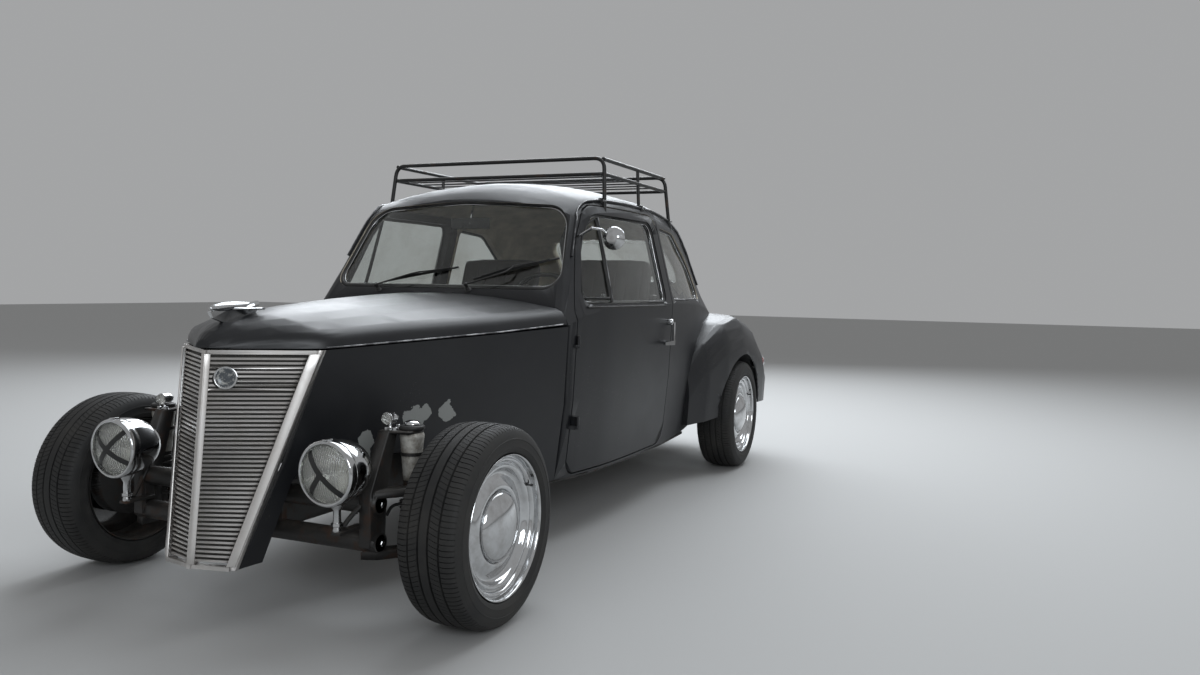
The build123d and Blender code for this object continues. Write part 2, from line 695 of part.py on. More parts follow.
# Grille: swept-back bars between a middle strip and two tapered trims
with BuildPart() as grille:
    rise = GRILLE_TOP[2] - GRILLE_FOOT[2]
    pitch = (rise - 2 * RAIL_HEIGHT) / (BAR_COUNT + 1)

    def trim_line(z):
        share = (z - GRILLE_FOOT[2]) / rise
        x = GRILLE_FOOT[0] + (GRILLE_TOP[0] - GRILLE_FOOT[0]) * share
        y = GRILLE_FOOT[1] + (GRILLE_TOP[1] - GRILLE_FOOT[1]) * share
        return x, y

    def strip_line(z):
        return STRIP_FOOT_Y + (STRIP_TOP_Y - STRIP_FOOT_Y) * (z - GRILLE_FOOT[2]) / rise

    def chevron(z, height, depth, tuck):
        x, y = trim_line(z)
        tip = strip_line(z)
        x = x - tuck
        y = y - SEAT_GAP - tuck
        outline = [(0, tip), (x, y - depth), (x, y), (0, tip + depth), (-x, y), (-x, y - depth)]
        return plan_form(outline, z, z + height)

    tuck = TRIM_TOP_WIDTH / 2
    first = GRILLE_FOOT[2] + RAIL_HEIGHT - BAR_HEIGHT / 2
    bars = [chevron(first + pitch * (i + 1), BAR_HEIGHT, BAR_DEPTH, tuck) for i in range(BAR_COUNT)]
    bars.append(chevron(GRILLE_FOOT[2], RAIL_HEIGHT, RAIL_DEPTH, tuck))
    bars.append(chevron(GRILLE_TOP[2] - RAIL_HEIGHT, RAIL_HEIGHT, RAIL_DEPTH, tuck))
    add(bars)
    for side in (-1, 1):
        ends = []
        for z, width in ((GRILLE_FOOT[2], TRIM_FOOT_WIDTH), (GRILLE_TOP[2], TRIM_TOP_WIDTH)):
            x, y = trim_line(z)
            y = y - SEAT_GAP
            with BuildSketch(Plane.XY.offset(z), mode=Mode.PRIVATE) as end:
                with BuildLine():
                    Polyline(
                        (side * (x - width), y - TRIM_DEPTH),
                        (side * x, y - TRIM_DEPTH / 2),
                        (side * x, y),
                        (side * (x - width), y),
                        close=True,
                    )
                make_face()
            ends.append(end.sketch)
        loft(sections=ends, ruled=True)
    add(
        side_form(
            [
                (STRIP_FOOT_Y - STRIP_PROUD, GRILLE_FOOT[2]),
                (STRIP_FOOT_Y + STRIP_DEPTH, GRILLE_FOOT[2]),
                (STRIP_TOP_Y + STRIP_DEPTH, GRILLE_TOP[2]),
                (STRIP_TOP_Y - STRIP_PROUD, GRILLE_TOP[2]),
            ],
            -STRIP_WIDTH / 2,
            STRIP_WIDTH / 2,
        )
    )
    face = strip_line(BADGE_Z)
    add(bar((BADGE_X, face - BADGE_STAND, BADGE_Z), (BADGE_X, face + 2 * BADGE_X, BADGE_Z), BADGE_RADIUS))

# Hood with its hinge barrels
with BuildPart() as hood:
    add(hood_outer)
    add(hood_inner, mode=Mode.SUBTRACT)
    for side in (-1, 1):
        x = side * HOOD_HINGE_X
        half = BARREL_LENGTH / 2
        add(block((x - half, HOOD_ROWS[0][0] - LEAF_LENGTH, HOOD_HINGE_Z - BARREL_RADIUS), (x + half, HOOD_HINGE_Y, HOOD_HINGE_Z)))
        add(bar((x - half, HOOD_HINGE_Y, HOOD_HINGE_Z), (x + half, HOOD_HINGE_Y, HOOD_HINGE_Z), BARREL_RADIUS))
        add(
            bar((x - half, HOOD_HINGE_Y, HOOD_HINGE_Z), (x + half, HOOD_HINGE_Y, HOOD_HINGE_Z), HINGE_PIN_RADIUS + PIN_CLEARANCE),
            mode=Mode.SUBTRACT,
        )

# Ornament: a spear with swept wings
with BuildPart() as hood_ornament:
    add(side_form(ORNAMENT_SPEAR, -ORNAMENT_WIDTH / 2, ORNAMENT_WIDTH / 2))
    for side in (-1, 1):
        add(plan_form([(0, a) if x == 0 else (side * x, a) for x, a in ORNAMENT_WING], ORNAMENT_WING_Z, ORNAMENT_WING_Z + ORNAMENT_WING_WALL))
    add(hood_outer, mode=Mode.SUBTRACT)

# Engine lid with its hinge barrels
with BuildPart() as engine_lid:
    add(cabin_outer)
    add(lid_core, mode=Mode.SUBTRACT)
    add(lid_prism, mode=Mode.INTERSECT)
    for side in (-1, 1):
        x = side * LID_HINGE_X
        half = BARREL_LENGTH / 2
        add(
            side_form(
                [
                    (LID_HINGE_Y, LID_HINGE_Z),
                    (LID_HINGE_Y + BARREL_RADIUS, LID_HINGE_Z),
                    (LID_HINGE_Y + LID_LEAF, LID_HINGE_Z - LID_LEAF),
                    (LID_HINGE_Y + LID_LEAF / 2, LID_HINGE_Z - 1.2 * LID_LEAF),
                ],
                x - half,
                x + half,
            )
        )
        add(bar((x - half, LID_HINGE_Y, LID_HINGE_Z), (x + half, LID_HINGE_Y, LID_HINGE_Z), BARREL_RADIUS))
        add(
            bar((x - half, LID_HINGE_Y, LID_HINGE_Z), (x + half, LID_HINGE_Y, LID_HINGE_Z), HINGE_PIN_RADIUS + PIN_CLEARANCE),
            mode=Mode.SUBTRACT,
        )

# Left door with its window opening and hinge straps
with BuildPart() as door_left:
    add(cabin_outer)
    add(cabin_inner, mode=Mode.SUBTRACT)
    add(door_side, mode=Mode.INTERSECT)
    add(door_window_cut, mode=Mode.SUBTRACT)
    for z in DOOR_HINGE_HEIGHTS:
        low = z - DOOR_BARREL_LENGTH / 2
        high = z + DOOR_BARREL_LENGTH / 2
        add(bar((DOOR_HINGE_X, DOOR_HINGE_Y, low), (DOOR_HINGE_X, DOOR_HINGE_Y, high), DOOR_BARREL_RADIUS))
        add(
            block(
                (DOOR_HINGE_X - DOOR_STRAP_REACH, DOOR_OUTLINE[0][0], low),
                (DOOR_HINGE_X, DOOR_OUTLINE[0][0] + DOOR_STRAP_LENGTH, high),
            )
        )
        add(
            bar(
                (DOOR_HINGE_X, DOOR_HINGE_Y, low),
                (DOOR_HINGE_X, DOOR_HINGE_Y, high),
                DOOR_PIN_RADIUS + PIN_CLEARANCE,
            ),
            mode=Mode.SUBTRACT,
        )

with BuildPart() as door_glass_left:
    add(glass_skin)
    add(side_prism(DOOR_WINDOW, SIDE_REACH, -SEAT_GAP), mode=Mode.INTERSECT)

with BuildPart() as windscreen:
    add(glass_skin)
    add(front_prism(SCREEN_OUTLINE, SCREEN_Y, -SEAT_GAP), mode=Mode.INTERSECT)
    add(both_sides(door_opening), mode=Mode.SUBTRACT)

with BuildPart() as rear_window:
    add(glass_skin)
    add(front_prism(REAR_OUTLINE, REAR_Y, -SEAT_GAP), mode=Mode.INTERSECT)

with BuildPart() as quarter_windows:
    with BuildPart(mode=Mode.PRIVATE) as quarter:
        add(glass_skin)
        add(side_prism(QUARTER_WINDOW, SIDE_REACH, -SEAT_GAP), mode=Mode.INTERSECT)
    for pane in both_sides(quarter.part):
        add(pane)

# Door handle: a lever on two posts with a round lock below
with BuildPart() as door_handle_left:
    add(bar((DOOR_SKIN_X, HANDLE_Y, HANDLE_Z), (HANDLE_X, HANDLE_Y, HANDLE_Z), HANDLE_POST_RADIUS))
    add(
        side_form(
            [
                (HANDLE_Y + HANDLE_HEIGHT / 2, HANDLE_Z - HANDLE_HEIGHT / 2),
                (HANDLE_Y + HANDLE_HEIGHT / 2, HANDLE_Z + HANDLE_HEIGHT / 2),
                (HANDLE_Y - HANDLE_LENGTH, HANDLE_Z + HANDLE_HEIGHT / 3),
                (HANDLE_Y - HANDLE_LENGTH, HANDLE_Z - HANDLE_HEIGHT / 4),
            ],
            HANDLE_X - HANDLE_WALL,
            HANDLE_X,
        )
    )
    add(bar((DOOR_SKIN_X, LOCK_Y, LOCK_Z), (HANDLE_X - HANDLE_WALL, LOCK_Y, LOCK_Z), LOCK_RADIUS))
    add(block((HANDLE_X - HANDLE_WALL, LOCK_Y - HANDLE_POST_RADIUS, HANDLE_Z), (HANDLE_X, LOCK_Y + HANDLE_POST_RADIUS, LOCK_Z)))
    add(cabin_grown, mode=Mode.SUBTRACT)

# Door mirror: a round head on a bent arm
with BuildPart() as door_mirror:
    for start, end in zip(MIRROR_ARM, MIRROR_ARM[1:]):
        add(bar(start, end, MIRROR_ARM_RADIUS))
    with Locations(*MIRROR_ARM[1:-1]):
        Sphere(MIRROR_ARM_RADIUS + 0.5)
    add(spun([(0, 0), (0, MIRROR_RADIUS), (-6, MIRROR_RADIUS), (-24, MIRROR_RADIUS / 2), (-24, 0)], MIRROR_HEAD, Axis.Y))
    add(cabin_grown, mode=Mode.SUBTRACT)

# Rear fenders with their arches
with BuildPart() as rear_fenders:
    with BuildPart(mode=Mode.PRIVATE) as fender:
        add(rear_fender_form)
        add(rear_fender_core, mode=Mode.SUBTRACT)
        add(cabin_grown, mode=Mode.SUBTRACT)
        add(bar((0, REAR_AXLE_Y, TYRE_RADIUS), (900, REAR_AXLE_Y, TYRE_RADIUS), ARCH_RADIUS), mode=Mode.SUBTRACT)
    for shell in both_sides(fender.part):
        add(shell)

with BuildPart() as tail_lamps:
    with BuildPart(mode=Mode.PRIVATE) as lamp:
        add(bar((TAIL_LAMP_X, TAIL_LAMP_Y - TAIL_LAMP_DEPTH, TAIL_LAMP_Z), (TAIL_LAMP_X, TAIL_LAMP_Y, TAIL_LAMP_Z), TAIL_LAMP_RADIUS))
        add(fender_solid(-SEAT_GAP), mode=Mode.SUBTRACT)
    for shell in both_sides(lamp.part):
        add(shell)

# Floor pan with its tunnel, frame head and rear fork
with BuildPart() as floor_pan:
    sill = [(half - FLOOR_TUCK, y) for y, half in FLOOR_EDGE]
    add(plan_form(sill + [(-x, y) for x, y in reversed(sill)], FLOOR_TOP - FLOOR_WALL, FLOOR_TOP))
    add(block((-TUNNEL_HALF, TUNNEL_Y, FLOOR_TOP - FLOOR_WALL), (TUNNEL_HALF, FORK_Y, FLOOR_TOP + TUNNEL_RISE)))
    head_y = BEAM_Y + BEAM_RADIUS - HEAD_LAP
    add(block((-TUNNEL_HALF, head_y, HEAD_FOOT), (TUNNEL_HALF, FLOOR_EDGE[0][0] + TUNNEL_HALF, HEAD_TOP)))
    add(bar((-SPRING_PLATE_X, TORSION_Y, TYRE_RADIUS), (SPRING_PLATE_X, TORSION_Y, TYRE_RADIUS), TORSION_RADIUS))
    for z in BEAM_HEIGHTS:
        add(bar((-BEAM_HALF, BEAM_Y, z), (BEAM_HALF, BEAM_Y, z), BEAM_RADIUS + SEAT_GAP), mode=Mode.SUBTRACT)
    for side in (-1, 1):
        add(
            plan_form(
                [
                    (side * (TUNNEL_HALF - FORK_WIDTH), FORK_Y - FORK_WIDTH),
                    (side * TUNNEL_HALF, FORK_Y - FORK_WIDTH),
                    (side * (FORK_HALF + FORK_WIDTH), FORK_BEND_Y),
                    (side * (FORK_HALF + FORK_WIDTH), FORK_END_Y),
                    (side * FORK_HALF, FORK_END_Y),
                    (side * FORK_HALF, FORK_BEND_Y),
                ],
                FLOOR_TOP - FLOOR_WALL,
                FLOOR_TOP + FORK_RISE,
            )
        )

# Front axle: two tubes, shock towers, trailing arms and shocks
with BuildPart() as front_axle:
    for z in BEAM_HEIGHTS:
        add(bar((-BEAM_HALF, BEAM_Y, z), (BEAM_HALF, BEAM_Y, z), BEAM_RADIUS))
    for side in (-1, 1):
        add(block((side * BEAM_POST_X - 12, BEAM_Y - 12, BEAM_HEIGHTS[0]), (side * BEAM_POST_X + 12, BEAM_Y + 12, BEAM_HEIGHTS[1])))
        low = min(side * TOWER_X[0], side * TOWER_X[1])
        high = max(side * TOWER_X[0], side * TOWER_X[1])
        add(side_form(TOWER_OUTLINE, low, high))
        add(
            block(
                (min(side * TOWER_X[0], side * (SHOCK_X + SHOCK_RADIUS)), SHOCK_Y - SHOCK_RADIUS - 30, SHOCK_TOP),
                (max(side * TOWER_X[0], side * (SHOCK_X + SHOCK_RADIUS)), SHOCK_Y + SHOCK_RADIUS, SHOCK_TOP + BRACKET_WALL),
            )
        )
        add(bar((side * SHOCK_X, SHOCK_Y, SHOCK_FOOT), (side * SHOCK_X, SHOCK_Y, SHOCK_TOP), SHOCK_RADIUS))
        add(bar((side * SHOCK_X, SHOCK_Y, ARM_LEVELS[0]), (side * SHOCK_X, SHOCK_Y, SHOCK_FOOT), SHOCK_ROD_RADIUS))
        for level, beam_z in zip(ARM_LEVELS, BEAM_HEIGHTS):
            near = (side * BEAM_HALF, BEAM_Y)
            with BuildPart(mode=Mode.PRIVATE) as arm:
                add(
                    plan_form(
                        [
                            (near[0] - side * 10, near[1] - ARM_WIDTH),
                            (near[0] + side * ARM_WIDTH, near[1] - ARM_WIDTH / 2),
                            (side * (KINGPIN_X + ARM_WIDTH / 2), -ARM_WIDTH / 3),
                            (side * (KINGPIN_X - ARM_WIDTH / 2), ARM_WIDTH / 3),
                            (near[0] - side * 10, near[1] + ARM_WIDTH),
                        ],
                        level - EYE_HEIGHT / 2,
                        level + EYE_HEIGHT / 2,
                    )
                )
                add(bar((near[0] - side * 10, near[1], beam_z), (near[0] + side * ARM_WIDTH, near[1], beam_z), BEAM_RADIUS))
                low_z = min(level, beam_z) - EYE_HEIGHT / 2
                high_z = max(level, beam_z) + EYE_HEIGHT / 2
                add(
                    block(
                        (min(near[0] - side * 10, near[0] + side * ARM_WIDTH), near[1] - 10, low_z),
                        (max(near[0] - side * 10, near[0] + side * ARM_WIDTH), near[1] + 10, high_z),
                    )
                )
                add(bar((side * KINGPIN_X, 0, level - EYE_HEIGHT / 2), (side * KINGPIN_X, 0, level + EYE_HEIGHT / 2), EYE_RADIUS))
                add(
                    bar(
                        (side * KINGPIN_X, 0, level - EYE_HEIGHT),
                        (side * KINGPIN_X, 0, level + EYE_HEIGHT),
                        KINGPIN_RADIUS + PIN_CLEARANCE,
                    ),
                    mode=Mode.SUBTRACT,
                )
            add(arm.part)

# Headlamps: bullet buckets on posts from the front axle
with BuildPart() as headlamps:
    for side in (-1, 1):
        x = side * LAMP_X
        add(spun(LAMP_PROFILE, (x, LAMP_Y, LAMP_Z), Axis.Y))
        add(bar((x, POST_Y, POST_FOOT), (x, POST_Y, LAMP_Z - LAMP_RADIUS * 0.7), POST_RADIUS))
        add(block((x - POST_RADIUS, POST_Y - POST_RADIUS, POST_FOOT - 2 * POST_RADIUS), (x + POST_RADIUS, BEAM_Y - POST_SEAT, POST_FOOT)))
        outer_x = side * (TOWER_X[0] - SEAT_GAP)
        add(
            block(
                (min(x - side * POST_RADIUS, outer_x), BEAM_Y - POST_SEAT - 2 * POST_RADIUS, POST_FOOT - 2 * POST_RADIUS),
                (max(x - side * POST_RADIUS, outer_x), BEAM_Y - POST_SEAT, POST_FOOT),
            )
        )

with BuildPart() as headlamp_lenses:
    for side in (-1, 1):
        add(spun(LENS_PROFILE, (side * LAMP_X, LAMP_Y, LAMP_Z), Axis.Y))

with BuildPart() as signal_lamps:
    for side in (-1, 1):
        x = side * SIGNAL_X
        add(spun(SIGNAL_PROFILE, (x, SIGNAL_Y, SIGNAL_Z), Axis.Y))
        add(bar((x, SIGNAL_Y + 30, SHOCK_TOP + BRACKET_WALL + SEAT_GAP), (x, SIGNAL_Y + 30, SIGNAL_Z), SIGNAL_STEM_RADIUS))

# Steering knuckle on its kingpin, with the brake drum and stub axle
with BuildPart() as knuckle_left:
    low, high = ARM_LEVELS
    add(bar((KINGPIN_X, 0, low - EYE_HEIGHT / 2 - 5), (KINGPIN_X, 0, high + EYE_HEIGHT / 2 + 5), KINGPIN_RADIUS))
    add(
        bar(
            (KINGPIN_X, 0, low + EYE_HEIGHT / 2 + PIN_CLEARANCE),
            (KINGPIN_X, 0, high - EYE_HEIGHT / 2 - PIN_CLEARANCE),
            EYE_RADIUS,
        )
    )
    front_x = FRONT_TRACK / 2
    add(bar((KINGPIN_X, 0, TYRE_RADIUS), (front_x + HUB_BACK_X - GAP, 0, TYRE_RADIUS), HUB_RADIUS))
    add(bar((front_x + HUB_BACK_X - GAP - DRUM_WIDTH, 0, TYRE_RADIUS), (front_x + HUB_BACK_X - GAP, 0, TYRE_RADIUS), DRUM_RADIUS))
    add(bar((front_x, 0, TYRE_RADIUS), (front_x + HUB_BACK_X + STUB_LENGTH - 1, 0, TYRE_RADIUS), STUB_RADIUS))

# Rear axle: gearbox, axle tubes, drums, stubs and spring plates
with BuildPart() as rear_axle:
    rear_x = REAR_TRACK / 2
    gearbox_back = ENGINE_Y[0] - SEAT_GAP
    add(block((-GEARBOX_HALF, GEARBOX_FRONT_Y, GEARBOX_Z[0]), (GEARBOX_HALF, gearbox_back, GEARBOX_Z[1])))
    add(block((-FORK_HALF + SEAT_GAP, MOUNT_Y[0], MOUNT_Z[0]), (FORK_HALF - SEAT_GAP, MOUNT_Y[1], MOUNT_Z[1])))
    for side in (-1, 1):
        drum_x = side * (rear_x + HUB_BACK_X - GAP)
        add(bar((0, REAR_AXLE_Y, TYRE_RADIUS), (drum_x, REAR_AXLE_Y, TYRE_RADIUS), AXLE_TUBE_RADIUS))
        add(bar((drum_x - side * DRUM_WIDTH, REAR_AXLE_Y, TYRE_RADIUS), (drum_x, REAR_AXLE_Y, TYRE_RADIUS), DRUM_RADIUS))
        stub_x = side * (rear_x + HUB_BACK_X + STUB_LENGTH - 1)
        add(bar((drum_x, REAR_AXLE_Y, TYRE_RADIUS), (stub_x, REAR_AXLE_Y, TYRE_RADIUS), STUB_RADIUS))
        near_x = side * (SPRING_PLATE_X + SEAT_GAP)
        far_x = side * (SPRING_PLATE_X + SPRING_PLATE_WALL)
        add(
            block(
                (min(near_x, far_x), TORSION_Y - SPRING_PLATE_HALF, TYRE_RADIUS - SPRING_PLATE_HALF),
                (max(near_x, far_x), REAR_AXLE_Y, TYRE_RADIUS + SPRING_PLATE_HALF),
            )
        )

with BuildPart() as engine_block:
    add(block((-ENGINE_HALF, ENGINE_Y[0], ENGINE_Z[0]), (ENGINE_HALF, ENGINE_Y[1], ENGINE_Z[1])))

with BuildPart() as exhaust:
    add(bar((-MUFFLER_HALF, MUFFLER_Y, MUFFLER_Z), (MUFFLER_HALF, MUFFLER_Y, MUFFLER_Z), MUFFLER_RADIUS))
    for side in (-1, 1):
        add(bar((side * PIPE_X, ENGINE_Y[1] + SEAT_GAP, MUFFLER_Z), (side * PIPE_X, MUFFLER_Y, MUFFLER_Z), PIPE_RADIUS))
        add(bar((side * PIPE_X / 2, MUFFLER_Y, MUFFLER_Z), (side * PIPE_X / 2, TAILPIPE_Y, MUFFLER_Z - 10), PIPE_RADIUS))

# Cabin fittings
with BuildPart() as dashboard:
    add(side_form(DASH_OUTLINE, -DASH_HALF, DASH_HALF))
    add(cabin_inner_clear, mode=Mode.INTERSECT)

with BuildPart() as steering_wheel:
    tilt = Plane(origin=(WHEEL_X, WHEEL_Y, WHEEL_Z), x_dir=(1, 0, 0), z_dir=(0, -cos(COLUMN_RISE), -sin(COLUMN_RISE)))
    with BuildSketch(tilt):
        Circle(WHEEL_RADIUS)
        Circle(WHEEL_RADIUS - WHEEL_RIM, mode=Mode.SUBTRACT)
        Rectangle(2 * WHEEL_RADIUS - WHEEL_RIM, WHEEL_RIM)
        Circle(WHEEL_HUB)
    extrude(amount=WHEEL_RIM)
    column = (WHEEL_X, WHEEL_Y - COLUMN_LENGTH * cos(COLUMN_RISE), WHEEL_Z - COLUMN_LENGTH * sin(COLUMN_RISE))
    add(bar((WHEEL_X, WHEEL_Y, WHEEL_Z), column, COLUMN_RADIUS))
    add(side_form(DASH_OUTLINE, -DASH_HALF, DASH_HALF, SEAT_GAP), mode=Mode.SUBTRACT)

with BuildPart() as front_seats:
    for side in (-1, 1):
        low = side * SEAT_X - SEAT_WIDTH / 2
        add(side_form(SEAT_OUTLINE, low, low + SEAT_WIDTH))

with BuildPart() as rear_bench:
    add(side_form(BENCH_OUTLINE, -BENCH_HALF, BENCH_HALF))
    tunnel_top = FLOOR_TOP + TUNNEL_RISE + SEAT_GAP
    add(
        block((-TUNNEL_HALF - SEAT_GAP, TUNNEL_Y, 0), (TUNNEL_HALF + SEAT_GAP, FORK_Y, tunnel_top)),
        mode=Mode.SUBTRACT,
    )

with BuildPart() as luggage_shelf:
    add(side_form(SHELF_OUTLINE, -700, 700))
    add(cabin_inner_clear, mode=Mode.INTERSECT)

with BuildPart() as cabin_mirror:
    add(block((-MIRROR_GLASS_HALF, INNER_MIRROR_Y, INNER_MIRROR_Z), (MIRROR_GLASS_HALF, INNER_MIRROR_Y + 12, INNER_MIRROR_Z + 50)))
    add(bar((0, INNER_MIRROR_Y + 6, INNER_MIRROR_Z + 40), (0, INNER_MIRROR_Y + 6, INNER_MIRROR_Z + 220), 6))
    add(cabin_inner_clear, mode=Mode.INTERSECT)

# Roof rack of round tube, stepped up over the windscreen
rack_tubes = []
front_foot, front_top, rear_top, rear_foot, front_low, rear_low = RACK_CORNERS
past = RACK_TUBE
rack_tubes += both_sides(
    bar((front_top[0], front_top[1] - past, front_top[2]), (rear_top[0], rear_top[1] + past, rear_top[2]), RACK_TUBE)
)
rack_tubes += both_sides(
    bar((front_low[0], front_low[1] - past, front_low[2]), (rear_low[0], rear_low[1] + past, rear_low[2]), RACK_TUBE)
)
rack_posts = [(front_foot, front_top), (rear_foot, rear_top)]
for share in RACK_POSTS:
    top = tuple(a + (b - a) * share for a, b in zip(front_top, rear_top))
    rack_posts.append(((top[0], top[1], RACK_FOOT_Z), top))
for foot, top in rack_posts:
    rack_tubes += both_sides(bar(foot, top, RACK_POST_TUBE))
for x, y, z in (front_top, rear_top):
    rack_tubes.append(bar((-x, y, z), (x, y, z), RACK_SLAT_TUBE))
for share in RACK_SLATS:
    y = front_low[1] + (rear_low[1] - front_low[1]) * share
    rack_tubes.append(
        block(
            (-front_low[0], y - RACK_SLAT_WIDTH / 2, front_low[2] - RACK_SLAT_WALL / 2),
            (front_low[0], y + RACK_SLAT_WIDTH / 2, front_low[2] + RACK_SLAT_WALL / 2),
        )
    )
with BuildPart() as roof_rack:
    add(rack_tubes)
    add(cabin_grown, mode=Mode.SUBTRACT)


def rim(place, side):
    """Steel rim with its hub cap, outer face towards one side."""
    half = RIM_WIDTH / 2
    inside = RIM_RADIUS - RIM_WALL
    outline = [
        (HUB_BACK_X + STUB_LENGTH, 0),
        (HUB_BACK_X + STUB_LENGTH, STUB_RADIUS + PIN_CLEARANCE),
        (HUB_BACK_X, STUB_RADIUS + PIN_CLEARANCE),
        (HUB_BACK_X, HUB_FACE_RADIUS),
        (DISC_BACK_X, HUB_FACE_RADIUS + RIM_WALL),
        (DISC_BACK_X, inside),
        (-half, inside),
        (-half, RIM_RADIUS),
        (half, RIM_RADIUS),
        (half, inside),
        (DISC_X, inside),
        (DISC_X, DISC_RADIUS),
        (CAP_X, CAP_RADIUS),
        (CAP_X + CAP_HEIGHT * 0.7, CAP_RADIUS * 0.65),
        (CAP_X + CAP_HEIGHT, 0),
    ]
    return spun([(side * x, r) for x, r in outline], place)


def tyre(place, side):
    """Tyre on its rim: a plain tread and two sidewalls."""
    half = TYRE_WIDTH / 2
    shoulder = TYRE_RADIUS - TYRE_CORNER
    outline = [
        (-half, RIM_RADIUS + SEAT_GAP),
        (-half, shoulder),
        (-TREAD_WIDTH / 2, TYRE_RADIUS),
        (TREAD_WIDTH / 2, TYRE_RADIUS),
        (half, shoulder),
        (half, RIM_RADIUS + SEAT_GAP),
    ]
    return spun([(side * x, r) for x, r in outline], place)


parts = {
    "body_shell": body_shell.part,
    "nose_panels": nose_panels.part,
    "grille": grille.part,
    "hood": hood.part,
    "hood_ornament": hood_ornament.part,
    "engine_lid": engine_lid.part,
    "door_left": door_left.part,
    "door_right": mirror(door_left.part, about=Plane.YZ),
    "door_window_left": door_glass_left.part,
    "door_window_right": mirror(door_glass_left.part, about=Plane.YZ),
    "door_handle_left": door_handle_left.part,
    "door_handle_right": mirror(door_handle_left.part, about=Plane.YZ),
    "door_mirror": door_mirror.part,
    "windscreen": windscreen.part,
    "rear_window": rear_window.part,
    "quarter_windows": quarter_windows.part,
    "rear_fenders": rear_fenders.part,
    "tail_lamps": tail_lamps.part,
    "floor_pan": floor_pan.part,
    "front_axle": front_axle.part,
    "headlamps": headlamps.part,
    "headlamp_lenses": headlamp_lenses.part,
    "signal_lamps": signal_lamps.part,
    "knuckle_left": knuckle_left.part,
    "knuckle_right": mirror(knuckle_left.part, about=Plane.YZ),
    "rear_axle": rear_axle.part,
    "engine_block": engine_block.part,
    "exhaust": exhaust.part,
    "dashboard": dashboard.part,
    "steering_wheel": steering_wheel.part,
    "front_seats": front_seats.part,
    "rear_bench": rear_bench.part,
    "luggage_shelf": luggage_shelf.part,
    "cabin_mirror": cabin_mirror.part,
    "roof_rack": roof_rack.part,
}
for end, y, track in (("front", 0.0, FRONT_TRACK), ("rear", REAR_AXLE_Y, REAR_TRACK)):
    for name, side in (("left", 1), ("right", -1)):
        place = (side * track / 2, y, TYRE_RADIUS)
        parts[f"rim_{end}_{name}"] = rim(place, side)
        parts[f"tyre_{end}_{name}"] = tyre(place, side)

# The shared origin: on the ground, under the middle of the car
boxes = [solid.bounding_box() for solid in parts.values()]
middle_y = (min(box.min.Y for box in boxes) + max(box.max.Y for box in boxes)) / 2
os.makedirs("parts", exist_ok=True)
for name, solid in parts.items():
    moved = Pos(0, -middle_y, 0) * solid
    moved.label = name
    export_step(moved, f"parts/{name}.step")
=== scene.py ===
"""Looks for a matt black hot rod: prow grille, open front axle, roof rack and chromed steel wheels.

+X is the car's left, -Y its nose, +Z up. New pieces are written in millimetres from the front axle on
the ground and made in metres. The imported CAD model gives every place that it decides, and what is modelled
here sits on it.
"""

import json
import math

import bmesh
import bpy
from mathutils import Matrix, Vector

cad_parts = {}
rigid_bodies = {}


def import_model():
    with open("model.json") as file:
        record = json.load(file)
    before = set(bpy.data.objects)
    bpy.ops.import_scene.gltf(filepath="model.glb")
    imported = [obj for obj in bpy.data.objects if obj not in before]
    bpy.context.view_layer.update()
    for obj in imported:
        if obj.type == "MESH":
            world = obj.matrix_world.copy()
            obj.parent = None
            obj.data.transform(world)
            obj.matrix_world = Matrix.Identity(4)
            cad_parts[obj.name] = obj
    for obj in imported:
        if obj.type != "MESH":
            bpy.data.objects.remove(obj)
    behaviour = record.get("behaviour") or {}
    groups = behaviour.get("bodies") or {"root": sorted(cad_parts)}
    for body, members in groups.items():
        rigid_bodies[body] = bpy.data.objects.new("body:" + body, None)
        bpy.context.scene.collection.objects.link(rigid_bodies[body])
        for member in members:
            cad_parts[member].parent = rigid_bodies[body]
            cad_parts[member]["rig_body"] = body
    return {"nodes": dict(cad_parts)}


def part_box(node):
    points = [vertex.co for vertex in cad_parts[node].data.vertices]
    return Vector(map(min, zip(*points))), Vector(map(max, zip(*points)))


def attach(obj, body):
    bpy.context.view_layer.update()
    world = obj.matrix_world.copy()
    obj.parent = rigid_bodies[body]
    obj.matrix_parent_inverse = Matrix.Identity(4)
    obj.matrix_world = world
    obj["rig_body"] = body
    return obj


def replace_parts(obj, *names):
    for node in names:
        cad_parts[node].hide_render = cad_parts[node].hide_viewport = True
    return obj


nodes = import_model()["nodes"]
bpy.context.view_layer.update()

FRONT_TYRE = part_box("tyre_front_left")
FRONT_AXLE_Y = FRONT_TYRE[0].y / 2 + FRONT_TYRE[1].y / 2
SIDES = (("left", 1), ("right", -1))
BACKWARD = (0, 1, 0)
FORWARD = (0, -1, 0)
UP = (0, 0, 1)
# Planes outside the car, from which places are dropped on its skins
BESIDE_CAR = 900
AHEAD_OF_SCREEN = 600
BEHIND_REAR_WINDOW = 3300
BEHIND_CAR = 4200


def at(x, y, z):
    """A place given in millimetres from the front axle on the ground."""
    return Vector((x / 1000, FRONT_AXLE_Y + y / 1000, z / 1000))


def to_millimetres(place):
    """The same the other way round: millimetres from the front axle on the ground."""
    return Vector((place.x * 1000, (place.y - FRONT_AXLE_Y) * 1000, place.z * 1000))


# Working by hand: selecting, shaping and finishing a piece


def deselect():
    if bpy.context.object and bpy.context.object.mode != "OBJECT":
        bpy.ops.object.mode_set(mode="OBJECT")
    bpy.ops.object.select_all(action="DESELECT")


def hold(piece):
    """Makes one piece the only selected and the active one."""
    deselect()
    piece.select_set(True)
    bpy.context.view_layer.objects.active = piece
    return piece


def edit(piece):
    """Goes into edit mode with all of a piece selected."""
    hold(piece)
    bpy.ops.object.mode_set(mode="EDIT")
    bpy.ops.mesh.select_all(action="SELECT")


def leave_edit():
    bpy.ops.object.mode_set(mode="OBJECT")


